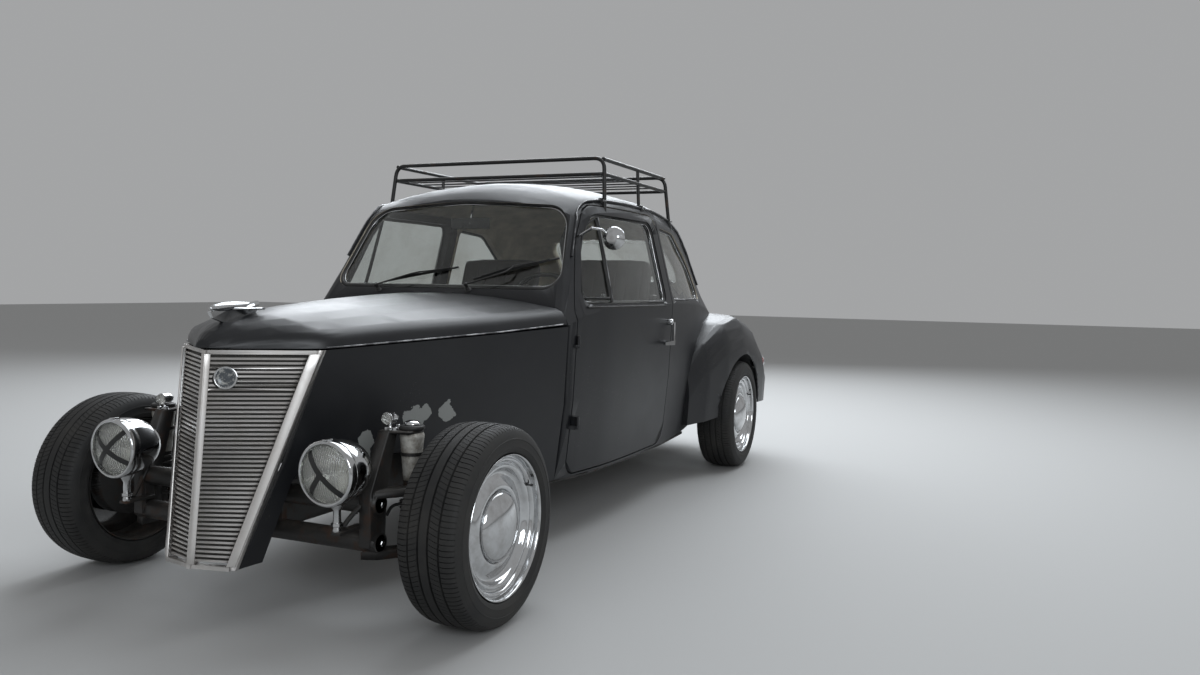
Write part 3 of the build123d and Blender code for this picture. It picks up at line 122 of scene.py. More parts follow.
def face_outwards(piece):
    """Turns a piece's faces so that they agree and look outwards."""
    edit(piece)
    bpy.ops.mesh.normals_make_consistent(inside=False)
    leave_edit()
    return piece


def cut(place, across):
    """Cuts all of the shape that is being edited where a plane runs through it."""
    bpy.ops.mesh.select_all(action="SELECT")
    bpy.ops.mesh.bisect(plane_co=place, plane_no=across)


def settle(piece):
    """Puts a piece's place, turn and scale into its mesh."""
    hold(piece)
    bpy.ops.object.transform_apply(location=True, rotation=True, scale=True)
    return piece


def apply_modifier(piece, kind, **values):
    """Adds a modifier, sets it and applies it."""
    hold(piece)
    modifier = piece.modifiers.new(kind.lower(), kind)
    for name, value in values.items():
        setattr(modifier, name, value)
    bpy.ops.object.modifier_apply(modifier=modifier.name)
    return piece


def soften(piece, angle):
    """Smooth shading with creases where faces meet more sharply than the angle."""
    hold(piece)
    bpy.ops.object.shade_smooth_by_angle(angle=math.radians(angle))
    return piece


def dress(piece, material):
    """Gives a piece one material in place of any it has."""
    piece.data.materials.clear()
    piece.data.materials.append(material)
    return piece


def mount(piece, name, body, material, angle=35):
    """Finishes a piece: named, shaded, in its material and riding on its body."""
    piece.name = name
    piece.data.name = name
    settle(piece)
    soften(piece, angle)
    dress(piece, material)
    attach(piece, body)
    return piece


def join(pieces):
    """Joins pieces into the first of them."""
    deselect()
    for piece in pieces:
        piece.select_set(True)
    bpy.context.view_layer.objects.active = pieces[0]
    bpy.ops.object.join()
    return pieces[0]


def copy_of(piece):
    """A loose copy with its own mesh."""
    twin = piece.copy()
    twin.data = piece.data.copy()
    for key in [key for key in twin.keys() if key.startswith("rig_")]:
        del twin[key]
    bpy.context.scene.collection.objects.link(twin)
    return twin


# In metres: the CAD's triangles don't share their corners
CAD_WELD = 0.00005


def merged_skin(node, name, angle):
    """A CAD node's own shape, merged and smooth-shaded, that stands for the node."""
    skin = copy_of(nodes[node])
    skin.parent = None
    edit(skin)
    bpy.ops.mesh.remove_doubles(threshold=CAD_WELD)
    leave_edit()
    skin.name = name
    skin.data.name = name
    soften(skin, angle)
    if node != "grille":
        apply_modifier(skin, "WEIGHTED_NORMAL", mode="FACE_AREA_WITH_ANGLE", keep_sharp=True)
    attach(skin, nodes[node]["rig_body"])
    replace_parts(skin, node)
    return skin


# Shapes drawn out: turned pieces, bent tubes, plates and sheets

# A turned piece closes on a circle of this radius in millimetres, which is then welded to one point
TIP = 0.03
TIP_WELD = 0.00009
LONGEST_BEND = 0.48


def turned(stations, segments=64, turns=None):
    """A piece turned about X. Stations are pairs of millimetres: along X, radius."""
    x, radius = stations[0]
    deselect()
    bpy.context.tool_settings.mesh_select_mode = (True, False, False)
    start = (x / 1000, 0, 0)
    towards_x = (0, math.pi / 2, 0)
    bpy.ops.mesh.primitive_circle_add(
        vertices=segments, radius=max(radius, TIP) / 1000, location=start, rotation=towards_x
    )
    piece = settle(bpy.context.object)
    edit(piece)
    for index, (next_x, next_radius) in enumerate(stations[1:]):
        bpy.ops.mesh.extrude_region_move(TRANSFORM_OT_translate={"value": ((next_x - x) / 1000, 0, 0)})
        ratio = max(next_radius, TIP) / max(radius, TIP)
        centre = (next_x / 1000, 0, 0)
        bpy.ops.transform.resize(value=(1, ratio, ratio), center_override=centre)
        if turns:
            bpy.ops.transform.rotate(value=turns[index], orient_axis="X", center_override=centre)
        x, radius = next_x, next_radius
    bpy.ops.mesh.select_all(action="SELECT")
    bpy.ops.mesh.remove_doubles(threshold=TIP_WELD)
    bpy.ops.mesh.normals_make_consistent(inside=False)
    leave_edit()
    return piece


def placed(piece, place, turn=(0, 0, 0)):
    """Turns a piece, given in degrees, and puts it at a place in millimetres from the front axle."""
    piece.rotation_euler = [math.radians(angle) for angle in turn]
    piece.location = at(*place)
    return settle(piece)


def aimed(piece, place, direction):
    """Swings a turned piece from X to a direction, and puts it at a place."""
    piece.rotation_euler = direction.to_track_quat("X", "Z").to_euler()
    piece.location = at(*place)
    return settle(piece)


def spun(name, stations, segments, place, turn, material, angle=40, body="car"):
    """A turned piece, put in its place and finished."""
    return mount(placed(turned(stations, segments), place, turn), name, body, material, angle)


def rounded(points, radius, steps=5):
    """A route through points in millimetres, with its corners bent to about the given radius."""
    route = [Vector(points[0])]
    for before, corner, after in zip(points, points[1:], points[2:]):
        corner = Vector(corner)
        back = Vector(before) - corner
        on = Vector(after) - corner
        reach = min(radius, LONGEST_BEND * back.length, LONGEST_BEND * on.length)
        first = corner + back.normalized() * reach
        last = corner + on.normalized() * reach
        for step in range(steps + 1):
            t = step / steps
            route.append(first * (1 - t) ** 2 + corner * 2 * t * (1 - t) + last * t * t)
    route.append(Vector(points[-1]))
    return route


def tube(route, radius, closed=False, sides=3):
    """A tube bent along a route in millimetres, capped at its ends."""
    curve = bpy.data.curves.new("route", "CURVE")
    curve.dimensions = "3D"
    spline = curve.splines.new("POLY")
    spline.points.add(len(route) - 1)
    for point, place in zip(spline.points, route):
        point.co = (*at(*place), 1)
    spline.use_cyclic_u = closed
    curve.bevel_depth = radius / 1000
    curve.bevel_resolution = sides
    curve.use_fill_caps = not closed
    piece = bpy.data.objects.new("tube", curve)
    bpy.context.scene.collection.objects.link(piece)
    hold(piece)
    bpy.ops.object.convert(target="MESH")
    return bpy.context.object


def piped(name, route, radius, material, angle=60, body="car", **how):
    """A bent tube, finished."""
    return mount(tube(route, radius, **how), name, body, material, angle)


def slab(low, high, edge=2.0, segments=2):
    """A plate between two corners in millimetres, its edges rounded."""
    first, last = at(*low), at(*high)
    deselect()
    bpy.ops.mesh.primitive_cube_add(size=1, location=(first + last) / 2)
    piece = bpy.context.object
    piece.scale = [abs(value) for value in last - first]
    settle(piece)
    apply_modifier(piece, "BEVEL", width=edge / 1000, segments=segments, limit_method="NONE")
    return piece


def plate(name, low, high, edge, material, segments=2, angle=35):
    """A plate, finished and riding on the car."""
    return mount(slab(low, high, edge, segments), name, "car", material, angle)


def sheet(name, points, faces):
    """A loose sheet from points in millimetres and the faces between them."""
    mesh = bpy.data.meshes.new(name)
    mesh.from_pydata([tuple(at(*spot)) for spot in points], [], faces)
    piece = bpy.data.objects.new(name, mesh)
    bpy.context.scene.collection.objects.link(piece)
    return piece


def net(rows):
    """A sheet's points and four-cornered faces, from rows of points of one length."""
    wide = len(rows[0])
    faces = []
    for row in range(len(rows) - 1):
        for column in range(wide - 1):
            corner = row * wide + column
            faces.append((corner, corner + 1, corner + wide + 1, corner + wide))
    return [spot for row in rows for spot in row], faces


def picked(piece, kind, test):
    """In edit mode, selects only the faces, edges or vertices that pass a test."""
    bpy.context.tool_settings.mesh_select_mode = (kind == "verts", kind == "edges", kind == "faces")
    bpy.ops.mesh.select_all(action="DESELECT")
    shape = bmesh.from_edit_mesh(piece.data)
    for part in getattr(shape, kind):
        if test(part):
            part.select_set(True)
    bmesh.update_edit_mesh(piece.data)


def landing(skin, start, direction):
    """Where a line from a place in millimetres first meets a skin, and the skin's normal there."""
    hit, place, normal, _ = skins[skin].ray_cast(at(*start), Vector(direction))
    if not hit:
        raise RuntimeError("no skin under " + str(start))
    return to_millimetres(place), normal


def on_skin(skin, starts, direction, lift):
    """Places on a skin under a row of points, lifted off it, in millimetres."""
    route = []
    for start in starts:
        place, normal = landing(skin, start, direction)
        route.append(place + normal * lift)
    return route


# Shader groups that several finishes share


def new_group(name, inputs, output="Mask"):
    """An empty shader group: it takes a Vector and the given inputs and puts out one value."""
    group = bpy.data.node_groups.new(name, "ShaderNodeTree")
    group.interface.new_socket(name="Vector", in_out="INPUT", socket_type="NodeSocketVector")
    for label, value in inputs.items():
        kind = "NodeSocketVector" if isinstance(value, tuple) else "NodeSocketFloat"
        group.interface.new_socket(name=label, in_out="INPUT", socket_type=kind).default_value = value
    group.interface.new_socket(name=output, in_out="OUTPUT", socket_type="NodeSocketFloat")
    given = group.nodes.new("NodeGroupInput")
    out = group.nodes.new("NodeGroupOutput")
    return group, given.outputs, out.inputs[output]


def node(tree, kind, links=None, **values):
    """Adds a shader node; links maps its inputs to other sockets or plain values."""
    made = tree.nodes.new(kind)
    for name, value in values.items():
        setattr(made, name, value)
    for key, value in (links or {}).items():
        if isinstance(value, bpy.types.NodeSocket):
            tree.links.new(value, made.inputs[key])
        else:
            made.inputs[key].default_value = value
    return made


def noise(tree, vector, scale, detail, **more):
    links = {"Vector": vector, "Scale": scale, "Detail": detail, **more}
    return node(tree, "ShaderNodeTexNoise", links)


def stretched(tree, value, low, high):
    """A value stretched so that low becomes 0 and high becomes 1."""
    links = {"Value": value, "From Min": low, "From Max": high}
    return node(tree, "ShaderNodeMapRange", links).outputs["Result"]


def maths(tree, operation, first, second):
    return node(tree, "ShaderNodeMath", {0: first, 1: second}, operation=operation).outputs["Value"]


def vector_maths(tree, operation, *inputs):
    return node(tree, "ShaderNodeVectorMath", dict(enumerate(inputs)), operation=operation)


def mottling_group():
    """Soft patches: a mask from broken noise, from 0 to 1."""
    group, given, out = new_group("mottling", {"Size": 6.0, "Start": 0.4, "End": 0.7})
    large = noise(group, given["Vector"], given["Size"], 6.0, Roughness=0.62)
    group.links.new(stretched(group, large.outputs["Fac"], given["Start"], given["End"]), out)
    return group


def specks_group():
    """Small sharp chips: spots of a given size, kept only where a broad noise allows them."""
    group, given, out = new_group("specks", {"Size": 120.0, "Spot": 0.12, "Spread": 0.55})
    warp = noise(group, given["Vector"], given["Size"], 3.0)
    bend = {"Factor": 0.02, "A": given["Vector"], "B": warp.outputs["Color"]}
    bent = node(group, "ShaderNodeMix", bend, data_type="VECTOR").outputs["Result"]
    cells = node(group, "ShaderNodeTexVoronoi", {"Vector": bent, "Scale": given["Size"]})
    near = maths(group, "LESS_THAN", cells.outputs["Distance"], given["Spot"])
    broad = noise(group, given["Vector"], 3.0, 4.0).outputs["Fac"]
    where = maths(group, "GREATER_THAN", broad, given["Spread"])
    group.links.new(maths(group, "MULTIPLY", near, where), out)
    return group


def dust_group():
    """Dust that lies on what faces up: a mask from the surface's own slope and patchy noise."""
    group, given, out = new_group("settled_dust", {"Size": 9.0, "Amount": 0.5})
    facing = node(group, "ShaderNodeNewGeometry").outputs["Normal"]
    slope = node(group, "ShaderNodeSeparateXYZ", {"Vector": facing}).outputs["Z"]
    level = stretched(group, slope, 0.15, 1.0)
    patches = noise(group, given["Vector"], given["Size"], 8.0, Roughness=0.7).outputs["Fac"]
    both = maths(group, "MULTIPLY", level, stretched(group, patches, 0.35, 0.75))
    group.links.new(maths(group, "MULTIPLY", both, given["Amount"]), out)
    return group


def grain_group():
    """Fine drawn lines along one axis, as height."""
    group, given, out = new_group("drawn_grain", {"Stretch": (4.0, 400.0, 400.0)}, "Lines")
    drawn_out = vector_maths(group, "MULTIPLY", given["Vector"], given["Stretch"])
    lines = noise(group, drawn_out.outputs["Vector"], 1.0, 3.0)
    group.links.new(lines.outputs["Fac"], out)
    return group


# A painted pool of light lies along a nose panel, so its distance counts little through the car's width
ACROSS_PANEL = (0.15, 1.0, 1.0)


def light_pool_group():
    """A ragged patch round one place, where a pale pool of light is painted: a mask of 0 or 1."""
    group, given, out = new_group("painted_light_pool", {"Place": (0.0, 0.0, 0.0), "Reach": 0.04})
    ragged = noise(group, given["Vector"], 26.0, 5.0).outputs["Fac"]
    spread = maths(group, "MULTIPLY", ragged, 2.0)
    apart = vector_maths(group, "SUBTRACT", given["Vector"], given["Place"]).outputs["Vector"]
    flat = vector_maths(group, "MULTIPLY", apart, ACROSS_PANEL).outputs["Vector"]
    far = vector_maths(group, "LENGTH", flat).outputs["Value"]
    edge = maths(group, "MULTIPLY", spread, given["Reach"])
    group.links.new(maths(group, "LESS_THAN", far, edge), out)
    return group


MOTTLING = mottling_group()
LIGHT_POOL_GROUP = light_pool_group()
SPECKS = specks_group()
DUST = dust_group()
GRAIN = grain_group()
# A Mix node's two value inputs and its output, for each kind
MIX_SOCKETS = {"FLOAT": (2, 3, 0), "RGBA": (6, 7, 2)}


class Finish:
    """A material being built: its Principled BSDF, its Object coordinates and a few shorthands."""

    def __init__(self, name, colour, roughness, metallic=0.0):
        self.material = bpy.data.materials.new(name)
        self.material.use_nodes = True
        self.tree = self.material.node_tree
        self.shader = self.tree.nodes["Principled BSDF"]
        self.plain("Base Color", (*colour, 1))
        self.plain("Roughness", roughness)
        self.plain("Metallic", metallic)
        self.place = self.tree.nodes.new("ShaderNodeTexCoord").outputs["Object"]

    def plain(self, socket, value):
        """Sets one of the shader's own sockets to a value that is the same all over."""
        self.shader.inputs[socket].default_value = value

    def feed(self, socket, source):
        self.tree.links.new(source, self.shader.inputs[socket])

    def group(self, group, **inputs):
        made = self.tree.nodes.new("ShaderNodeGroup")
        made.node_tree = group
        self.tree.links.new(self.place, made.inputs["Vector"])
        for name, value in inputs.items():
            made.inputs[name].default_value = value
        return made.outputs[0]

    def patches(self, size, start, end):
        """A mask of soft patches."""
        return self.group(MOTTLING, Size=size, Start=start, End=end)

    def blend(self, kind, mask, first, second):
        """Blends two colours or two values by a mask; either may be another socket."""
        mix = node(self.tree, "ShaderNodeMix", {"Factor": mask}, data_type=kind)
        first_socket, second_socket, result = MIX_SOCKETS[kind]
        for socket, value in ((first_socket, first), (second_socket, second)):
            if isinstance(value, bpy.types.NodeSocket):
                self.tree.links.new(value, mix.inputs[socket])
            else:
                mix.inputs[socket].default_value = (*value, 1) if kind == "RGBA" else value
        return mix.outputs[result]

    def two_colours(self, mask, first, second):
        return self.blend("RGBA", mask, first, second)

    def colour(self, mask, first, second):
        """Colours the surface from the first colour to the second by a mask."""
        self.feed("Base Color", self.two_colours(mask, first, second))

    def rough(self, mask, first, second):
        """Makes the surface rough from the first value to the second by a mask."""
        self.feed("Roughness", self.blend("FLOAT", mask, first, second))

    def bump(self, height, strength, distance):
        links = {"Height": height, "Strength": strength, "Distance": distance}
        self.feed("Normal", node(self.tree, "ShaderNodeBump", links).outputs["Normal"])

    def grain(self, scale, detail, strength, distance):
        """Fine uneven relief."""
        self.bump(noise(self.tree, self.place, scale, detail).outputs["Fac"], strength, distance)

    def flutes(self, scale, axis, strength, distance):
        """Even ridges one after the other along an axis."""
        links = {"Vector": self.place, "Scale": scale}
        wave = node(self.tree, "ShaderNodeTexWave", links, wave_type="BANDS", bands_direction=axis)
        self.bump(wave.outputs["Fac"], strength, distance)


# Where pale pools of light are painted on the left nose panel, and how far round each place
LIGHT_POOLS = [
    ((440, 185, 556), 0.036),
    ((452, 228, 566), 0.024),
    ((480, 306, 564), 0.034),
    ((330, 18, 495), 0.030),
    ((336, 22, 462), 0.020),
]


def satin_black():
    """Brush-dull black paint with road dust on its flats, chips down to primer, orange peel, and pale pools
    of light painted on the left nose panel.
    """
    finish = Finish("satin_black_paint", (0.012, 0.012, 0.013), 0.38)
    worn = finish.patches(5.0, 0.42, 0.72)
    dust = finish.group(DUST, Size=22.0, Amount=0.09)
    chips = finish.group(SPECKS, Size=150.0, Spot=0.10, Spread=0.58)
    paint = finish.two_colours(worn, (0.0085, 0.0092, 0.0112), (0.0125, 0.013, 0.0148))
    dusty = finish.two_colours(dust, paint, (0.13, 0.125, 0.12))
    chips_and_light = finish.two_colours(chips, dusty, (0.20, 0.19, 0.18))
    # Pale grey pools on the nose panel are painted light, where a lamp falls on it in sharp-edged patches
    for place, reach in LIGHT_POOLS:
        pool_mask = finish.group(LIGHT_POOL_GROUP, Place=tuple(at(*place)), Reach=reach)
        chips_and_light = finish.two_colours(pool_mask, chips_and_light, (0.26, 0.27, 0.26))
    finish.feed("Base Color", chips_and_light)
    finish.rough(dust, finish.blend("FLOAT", worn, 0.36, 0.41), 0.75)
    finish.grain(260.0, 2.0, 0.05, 0.001)
    return finish.material


def polished_steel(name="polished_steel", grain=0.06):
    """Bright pressed bars, drawn along X, a little stained."""
    finish = Finish(name, (0.62, 0.60, 0.58), 0.28, 1.0)
    stain = finish.patches(14.0, 0.45, 0.75)
    lines = finish.group(GRAIN)
    finish.colour(stain, (0.72, 0.70, 0.68), (0.58, 0.55, 0.52))
    finish.rough(stain, 0.34, 0.46)
    finish.bump(lines, grain, 0.0003)
    return finish.material


def chrome(name="chrome_plate", dull=0.0):
    """Plating gone hazy, with brown pits; dull adds to its roughness."""
    finish = Finish(name, (0.66, 0.67, 0.68), 0.08, 1.0)
    haze = finish.patches(20.0, 0.45, 0.8)
    pits = finish.group(SPECKS, Size=420.0, Spot=0.10, Spread=0.56)
    plating = finish.two_colours(haze, (0.66, 0.67, 0.68), (0.42, 0.41, 0.40))
    finish.colour(pits, plating, (0.25, 0.16, 0.10))
    finish.rough(haze, 0.07 + dull, 0.24 + dull)
    return finish.material


def tyre_rubber():
    finish = Finish("tyre_rubber", (0.018, 0.018, 0.018), 0.72)
    dust = finish.patches(8.0, 0.38, 0.75)
    finish.colour(dust, (0.011, 0.011, 0.011), (0.036, 0.034, 0.031))
    finish.rough(dust, 0.62, 0.86)
    finish.grain(500.0, 2.0, 0.2, 0.001)
    return finish.material


def seal_rubber():
    finish = Finish("seal_rubber", (0.015, 0.015, 0.015), 0.55)
    dust = finish.patches(22.0, 0.4, 0.8)
    finish.colour(dust, (0.012, 0.012, 0.012), (0.05, 0.048, 0.045))
    finish.rough(dust, 0.45, 0.75)
    return finish.material


GLASS_IOR = 1.45


def window_glass():
    """Clear glass with a thin film of dust in patches."""
    finish = Finish("window_glass", (0.86, 0.89, 0.87), 0.02)
    finish.plain("Transmission Weight", 1.0)
    finish.plain("IOR", GLASS_IOR)
    film = finish.patches(4.0, 0.5, 0.95)
    finish.colour(film, (0.88, 0.91, 0.89), (0.66, 0.66, 0.62))
    finish.rough(film, 0.0, 0.06)
    return finish.material


def lamp_glass():
    """Pressed headlamp glass with upright flutes."""
    finish = Finish("fluted_lamp_glass", (0.92, 0.93, 0.90), 0.05)
    finish.plain("Transmission Weight", 0.85)
    finish.plain("IOR", GLASS_IOR)
    finish.flutes(45.0, "X", 0.6, 0.002)
    return finish.material


def red_lens():
    finish = Finish("red_lens", (0.42, 0.012, 0.010), 0.12)
    finish.plain("Transmission Weight", 0.25)
    finish.flutes(60.0, "X", 0.35, 0.001)
    return finish.material


def grimy_steel(name="grimy_steel", colour=(0.024, 0.023, 0.022), rust=(0.058, 0.029, 0.017), start=0.52):
    """Painted chassis steel with rust and road dirt."""
    finish = Finish(name, colour, 0.6, 0.15)
    rusty = finish.patches(18.0, start, start + 0.2)
    dust = finish.group(DUST, Size=24.0, Amount=0.7)
    paint = finish.two_colours(rusty, colour, rust)
    finish.colour(dust, paint, (0.12, 0.105, 0.09))
    finish.rough(rusty, 0.45, 0.85)
    finish.grain(140.0, 5.0, 0.25, 0.002)
    return finish.material


def cast_alloy():
    """Cast aluminium, oily in patches."""
    finish = Finish("cast_alloy", (0.32, 0.31, 0.29), 0.55, 0.8)
    oil = finish.patches(12.0, 0.42, 0.7)
    finish.colour(oil, (0.34, 0.33, 0.31), (0.06, 0.05, 0.04))
    finish.grain(300.0, 4.0, 0.3, 0.001)
    return finish.material


def seat_hide():
    """Dark grained vinyl, shiny where it is sat on."""
    finish = Finish("seat_hide", (0.028, 0.022, 0.018), 0.5)
    shine = finish.patches(6.0, 0.4, 0.7)
    grain = {"Vector": finish.place, "Scale": 520.0}
    cells = node(finish.tree, "ShaderNodeTexVoronoi", grain, feature="DISTANCE_TO_EDGE")
    finish.colour(shine, (0.022, 0.018, 0.015), (0.05, 0.042, 0.036))
    finish.rough(shine, 0.36, 0.6)
    finish.bump(cells.outputs["Distance"], 0.35, 0.001)
    return finish.material


def plain_trim(name, colour, roughness, scale=200.0):
    """Cloth, vinyl, card or moulded trim: one colour, lighter in patches, with fine relief."""
    finish = Finish(name, colour, roughness)
    lighter = tuple(min(1.0, part * 1.6 + 0.01) for part in colour)
    finish.colour(finish.patches(9.0, 0.4, 0.75), colour, lighter)
    finish.grain(scale, 3.0, 0.15, 0.001)
    return finish.material


def grille_shade_finish():
    """Dark dusty sheet with fine upright fins: painted shade standing in for the dark behind the grille's
    bars.
    """
    finish = Finish("grille_shade_finish", (0.05, 0.048, 0.045), 0.6, 0.3)
    dust = finish.patches(14.0, 0.45, 0.75)
    finish.colour(dust, (0.045, 0.043, 0.040), (0.085, 0.08, 0.07))
    finish.flutes(90.0, "X", 0.7, 0.002)
    return finish.material


def mirror_face():
    finish = Finish("mirror_face", (0.86, 0.87, 0.88), 0.02, 1.0)
    finish.rough(finish.patches(18.0, 0.5, 0.9), 0.01, 0.12)
    return finish.material


def silvered_dish():
    """A lamp's reflector, a little cloudy with age."""
    finish = Finish("silvered_dish", (0.88, 0.88, 0.86), 0.12, 1.0)
    cloud = finish.patches(26.0, 0.4, 0.8)
    finish.colour(cloud, (0.88, 0.88, 0.86), (0.62, 0.60, 0.52))
    finish.rough(cloud, 0.10, 0.30)
    return finish.material


def clear_lens():
    """Small clear moulded lens with fine level ridges."""
    finish = Finish("clear_lens", (0.93, 0.93, 0.90), 0.06)
    finish.plain("Transmission Weight", 0.9)
    finish.flutes(90.0, "Z", 0.5, 0.001)
    return finish.material


def frosted_bulb():
    finish = Finish("frosted_bulb", (0.80, 0.78, 0.70), 0.35)
    finish.colour(finish.patches(60.0, 0.4, 0.7), (0.84, 0.82, 0.76), (0.60, 0.56, 0.48))
    return finish.material


def bare_alloy():
    """Pale unpainted alloy, dull, with water marks."""
    finish = Finish("bare_alloy", (0.50, 0.49, 0.46), 0.5, 0.35)
    marks = finish.patches(30.0, 0.42, 0.62)
    dirt = finish.group(DUST, Size=40.0, Amount=0.6)
    finish.colour(dirt, finish.two_colours(marks, (0.55, 0.54, 0.50), (0.26, 0.24, 0.21)), (0.2, 0.18, 0.15))
    finish.rough(marks, 0.42, 0.7)
    finish.grain(180.0, 4.0, 0.2, 0.001)
    return finish.material


def worn_edge_and_highlight():
    """Thin bright edge: bare metal where the paint has rubbed off, and along the hood's edges a painted
    highlight for the reflection off its flange.
    """
    finish = Finish("worn_edge_and_highlight", (0.36, 0.36, 0.37), 0.32, 0.85)
    worn = finish.patches(16.0, 0.4, 0.6)
    finish.colour(worn, (0.50, 0.50, 0.51), (0.06, 0.06, 0.065))
    finish.feed("Metallic", finish.blend("FLOAT", worn, 0.9, 0.1))
    return finish.material


def badge_enamel():
    """Blank badge field: dark enamel, scratched."""
    finish = Finish("badge_enamel", (0.10, 0.11, 0.12), 0.22, 0.2)
    scratch = finish.patches(90.0, 0.5, 0.62)
    finish.colour(scratch, (0.09, 0.10, 0.11), (0.38, 0.38, 0.36))
    finish.rough(scratch, 0.18, 0.45)
    return finish.material


PAINT = satin_black()
REFLECTOR = silvered_dish()
CLEAR_LENS = clear_lens()
FROSTED = frosted_bulb()
BARE_ALLOY = bare_alloy()
EDGE_METAL_AND_HIGHLIGHT = worn_edge_and_highlight()
BRIGHT_BEAD = chrome("bright_bead", 0.06)
ENAMEL = badge_enamel()
STEEL = polished_steel()
TRIM_STEEL = polished_steel("trim_steel", 0.0)
CHROME = chrome()
DULL_CHROME = chrome("weathered_chrome", 0.08)
RUBBER = tyre_rubber()
SEAL = seal_rubber()
GLASS = window_glass()
LAMP_GLASS = lamp_glass()
RED_LENS = red_lens()
CHASSIS = grimy_steel()
RACK_STEEL = grimy_steel("rack_steel", (0.02, 0.02, 0.02), (0.09, 0.05, 0.03), 0.58)
PIPE = grimy_steel("pipe_steel", (0.12, 0.11, 0.10), (0.16, 0.07, 0.03), 0.42)
ALLOY = cast_alloy()
HIDE = seat_hide()
CARPET = plain_trim("luggage_carpet", (0.02, 0.02, 0.022), 0.95, 400.0)
LINING = plain_trim("cabin_lining", (0.50, 0.44, 0.35), 0.9, 320.0)
DOOR_CARD = plain_trim("door_card", (0.045, 0.038, 0.032), 0.6, 260.0)
# Painted shade for the grille: a dark finned sheet behind its bars
GRILLE_SHADE = grille_shade_finish()
DASH = plain_trim("dash_paint", (0.02, 0.019, 0.018), 0.45)
BAKELITE = plain_trim("bakelite", (0.012, 0.012, 0.012), 0.25)
MIRROR = mirror_face()
TAPE = plain_trim("black_tape", (0.012, 0.012, 0.012), 0.5, 500.0)

# CAD shapes that stay as they are, merged and shaded smooth, with the angle past which an edge stays sharp
SKINS = {
    "body_shell": (PAINT, 28),
    "nose_panels": (PAINT, 20),
    "hood": (PAINT, 32),
    "engine_lid": (PAINT, 28),
    "door_left": (PAINT, 28),
    "door_right": (PAINT, 28),
    "rear_fenders": (PAINT, 32),
    "grille": (STEEL, 25),
    "hood_ornament": (CHROME, 25),
    "windscreen": (GLASS, 14),
    "rear_window": (GLASS, 14),
    "quarter_windows": (GLASS, 14),
    "door_window_left": (GLASS, 14),
    "door_window_right": (GLASS, 14),
    "door_handle_left": (CHROME, 35),
    "door_handle_right": (CHROME, 35),
    "door_mirror": (CHROME, 35),
    "tail_lamps": (RED_LENS, 35),
    "floor_pan": (CHASSIS, 35),
    "front_axle": (CHASSIS, 35),
    "rear_axle": (ALLOY, 35),
    "knuckle_left": (CHASSIS, 35),
    "knuckle_right": (CHASSIS, 35),
    "exhaust": (PIPE, 35),
    "dashboard": (DASH, 35),
    "luggage_shelf": (CARPET, 35),
}
skins = {}
for name, (material, angle) in SKINS.items():
    skins[name] = dress(merged_skin(name, f"{name}_skin", angle), material)

# Wheels: tyre with cut tread, stepped steel rim, plain domed cap and valve

# One half of the tyre's outside, from the middle of the tread to the bead: across, radius
HALF_TYRE = [
    (0.0, 293.9), (12.0, 293.8), (12.6, 287.0), (17.6, 287.0), (18.4, 293.6), (25.0, 293.4),
    (32.0, 293.1), (39.0, 292.7), (45.0, 292.3), (45.6, 286.2), (50.2, 286.0), (51.0, 291.7),
    (60.0, 290.7), (69.0, 289.0), (77.0, 286.6), (84.0, 282.8), (89.5, 277.0), (93.6, 269.5),
    (96.6, 261.5), (98.4, 254.5), (99.6, 254.0), (99.8, 251.0), (98.9, 250.2), (99.6, 240.0),
    (99.0, 230.0), (99.4, 228.6), (98.4, 227.0), (96.0, 220.0), (92.0, 214.6), (87.0, 211.6),
]
HALF_BORE = [(82.0, 211.2), (60.0, 216.0), (0.0, 218.0)]
TREAD_CUTS = 120
CUT_SWING = 0.075
CUT_REACH = 58.0
TYRE_BEAD_RADIUS = 220.0
# In metres, as the mesh's own points are
TREAD_RADIUS = 0.276
EDGE_RADIUS = 0.2765
SHORTEST_CUT = 4.5
# For the ribs and the shoulders: where they start and end, a cut's width, what it leaves of the radius
CUT_BANDS = ((18.0, 45.5, 0.8, 0.988), (50.8, 91.0, 1.3, 0.986))


def radius_of(vertex):
    """A point's distance from the X axis."""
    return math.hypot(vertex.co.y, vertex.co.z)


def tyre():
    """A road tyre about X with four grooves, slanted cuts in its ribs and slots over its shoulders."""
    left = [(-x, r) for x, r in reversed(HALF_TYRE[1:])]
    bore = HALF_BORE + [(-x, r) for x, r in reversed(HALF_BORE[:-1])]
    stations = left + HALF_TYRE + bore + left[:1]

    def swing(x):
        """How far round the tread a cut has run at x."""
        return CUT_SWING * max(0.0, 1 - abs(x) / CUT_REACH) ** 1.3

    turns = []
    for (x, _), (next_x, next_radius) in zip(stations, stations[1:]):
        turns.append(swing(next_x) - swing(x) if next_radius > TYRE_BEAD_RADIUS else 0.0)
    piece = turned(stations, TREAD_CUTS, turns)
    edit(piece)
    for low, high, width, depth in CUT_BANDS:

        def along(edge):
            """Whether an edge runs over this band from side to side."""
            a, b = edge.verts
            reach = abs(a.co.x - b.co.x) * 1000
            inside = all(low < abs(v.co.x) * 1000 < high and radius_of(v) > EDGE_RADIUS for v in (a, b))
            level = abs(radius_of(a) - radius_of(b)) < reach * 1.5 / 1000
            return inside and reach > SHORTEST_CUT and level

        picked(piece, "edges", along)
        bpy.ops.mesh.bevel(offset=width / 1000, offset_type="OFFSET", segments=1, affect="EDGES")

        def narrow(face):
            """Whether a face of this band is one of the thin ones that the bevel made."""
            centre = face.calc_center_median()
            out = math.hypot(centre.y, centre.z) > TREAD_RADIUS
            spread = [v.co for v in face.verts]
            across = min((a - b).length for a, b in zip(spread, spread[1:] + spread[:1]))
            here = low < abs(centre.x) * 1000 < high
            return out and here and across < 2.4 * width / 1000 and len(spread) == 4

        picked(piece, "faces", narrow)
        bpy.ops.mesh.extrude_region_move()
        bpy.ops.transform.resize(value=(1, depth, depth), center_override=(0, 0, 0))
    leave_edit()
    return piece


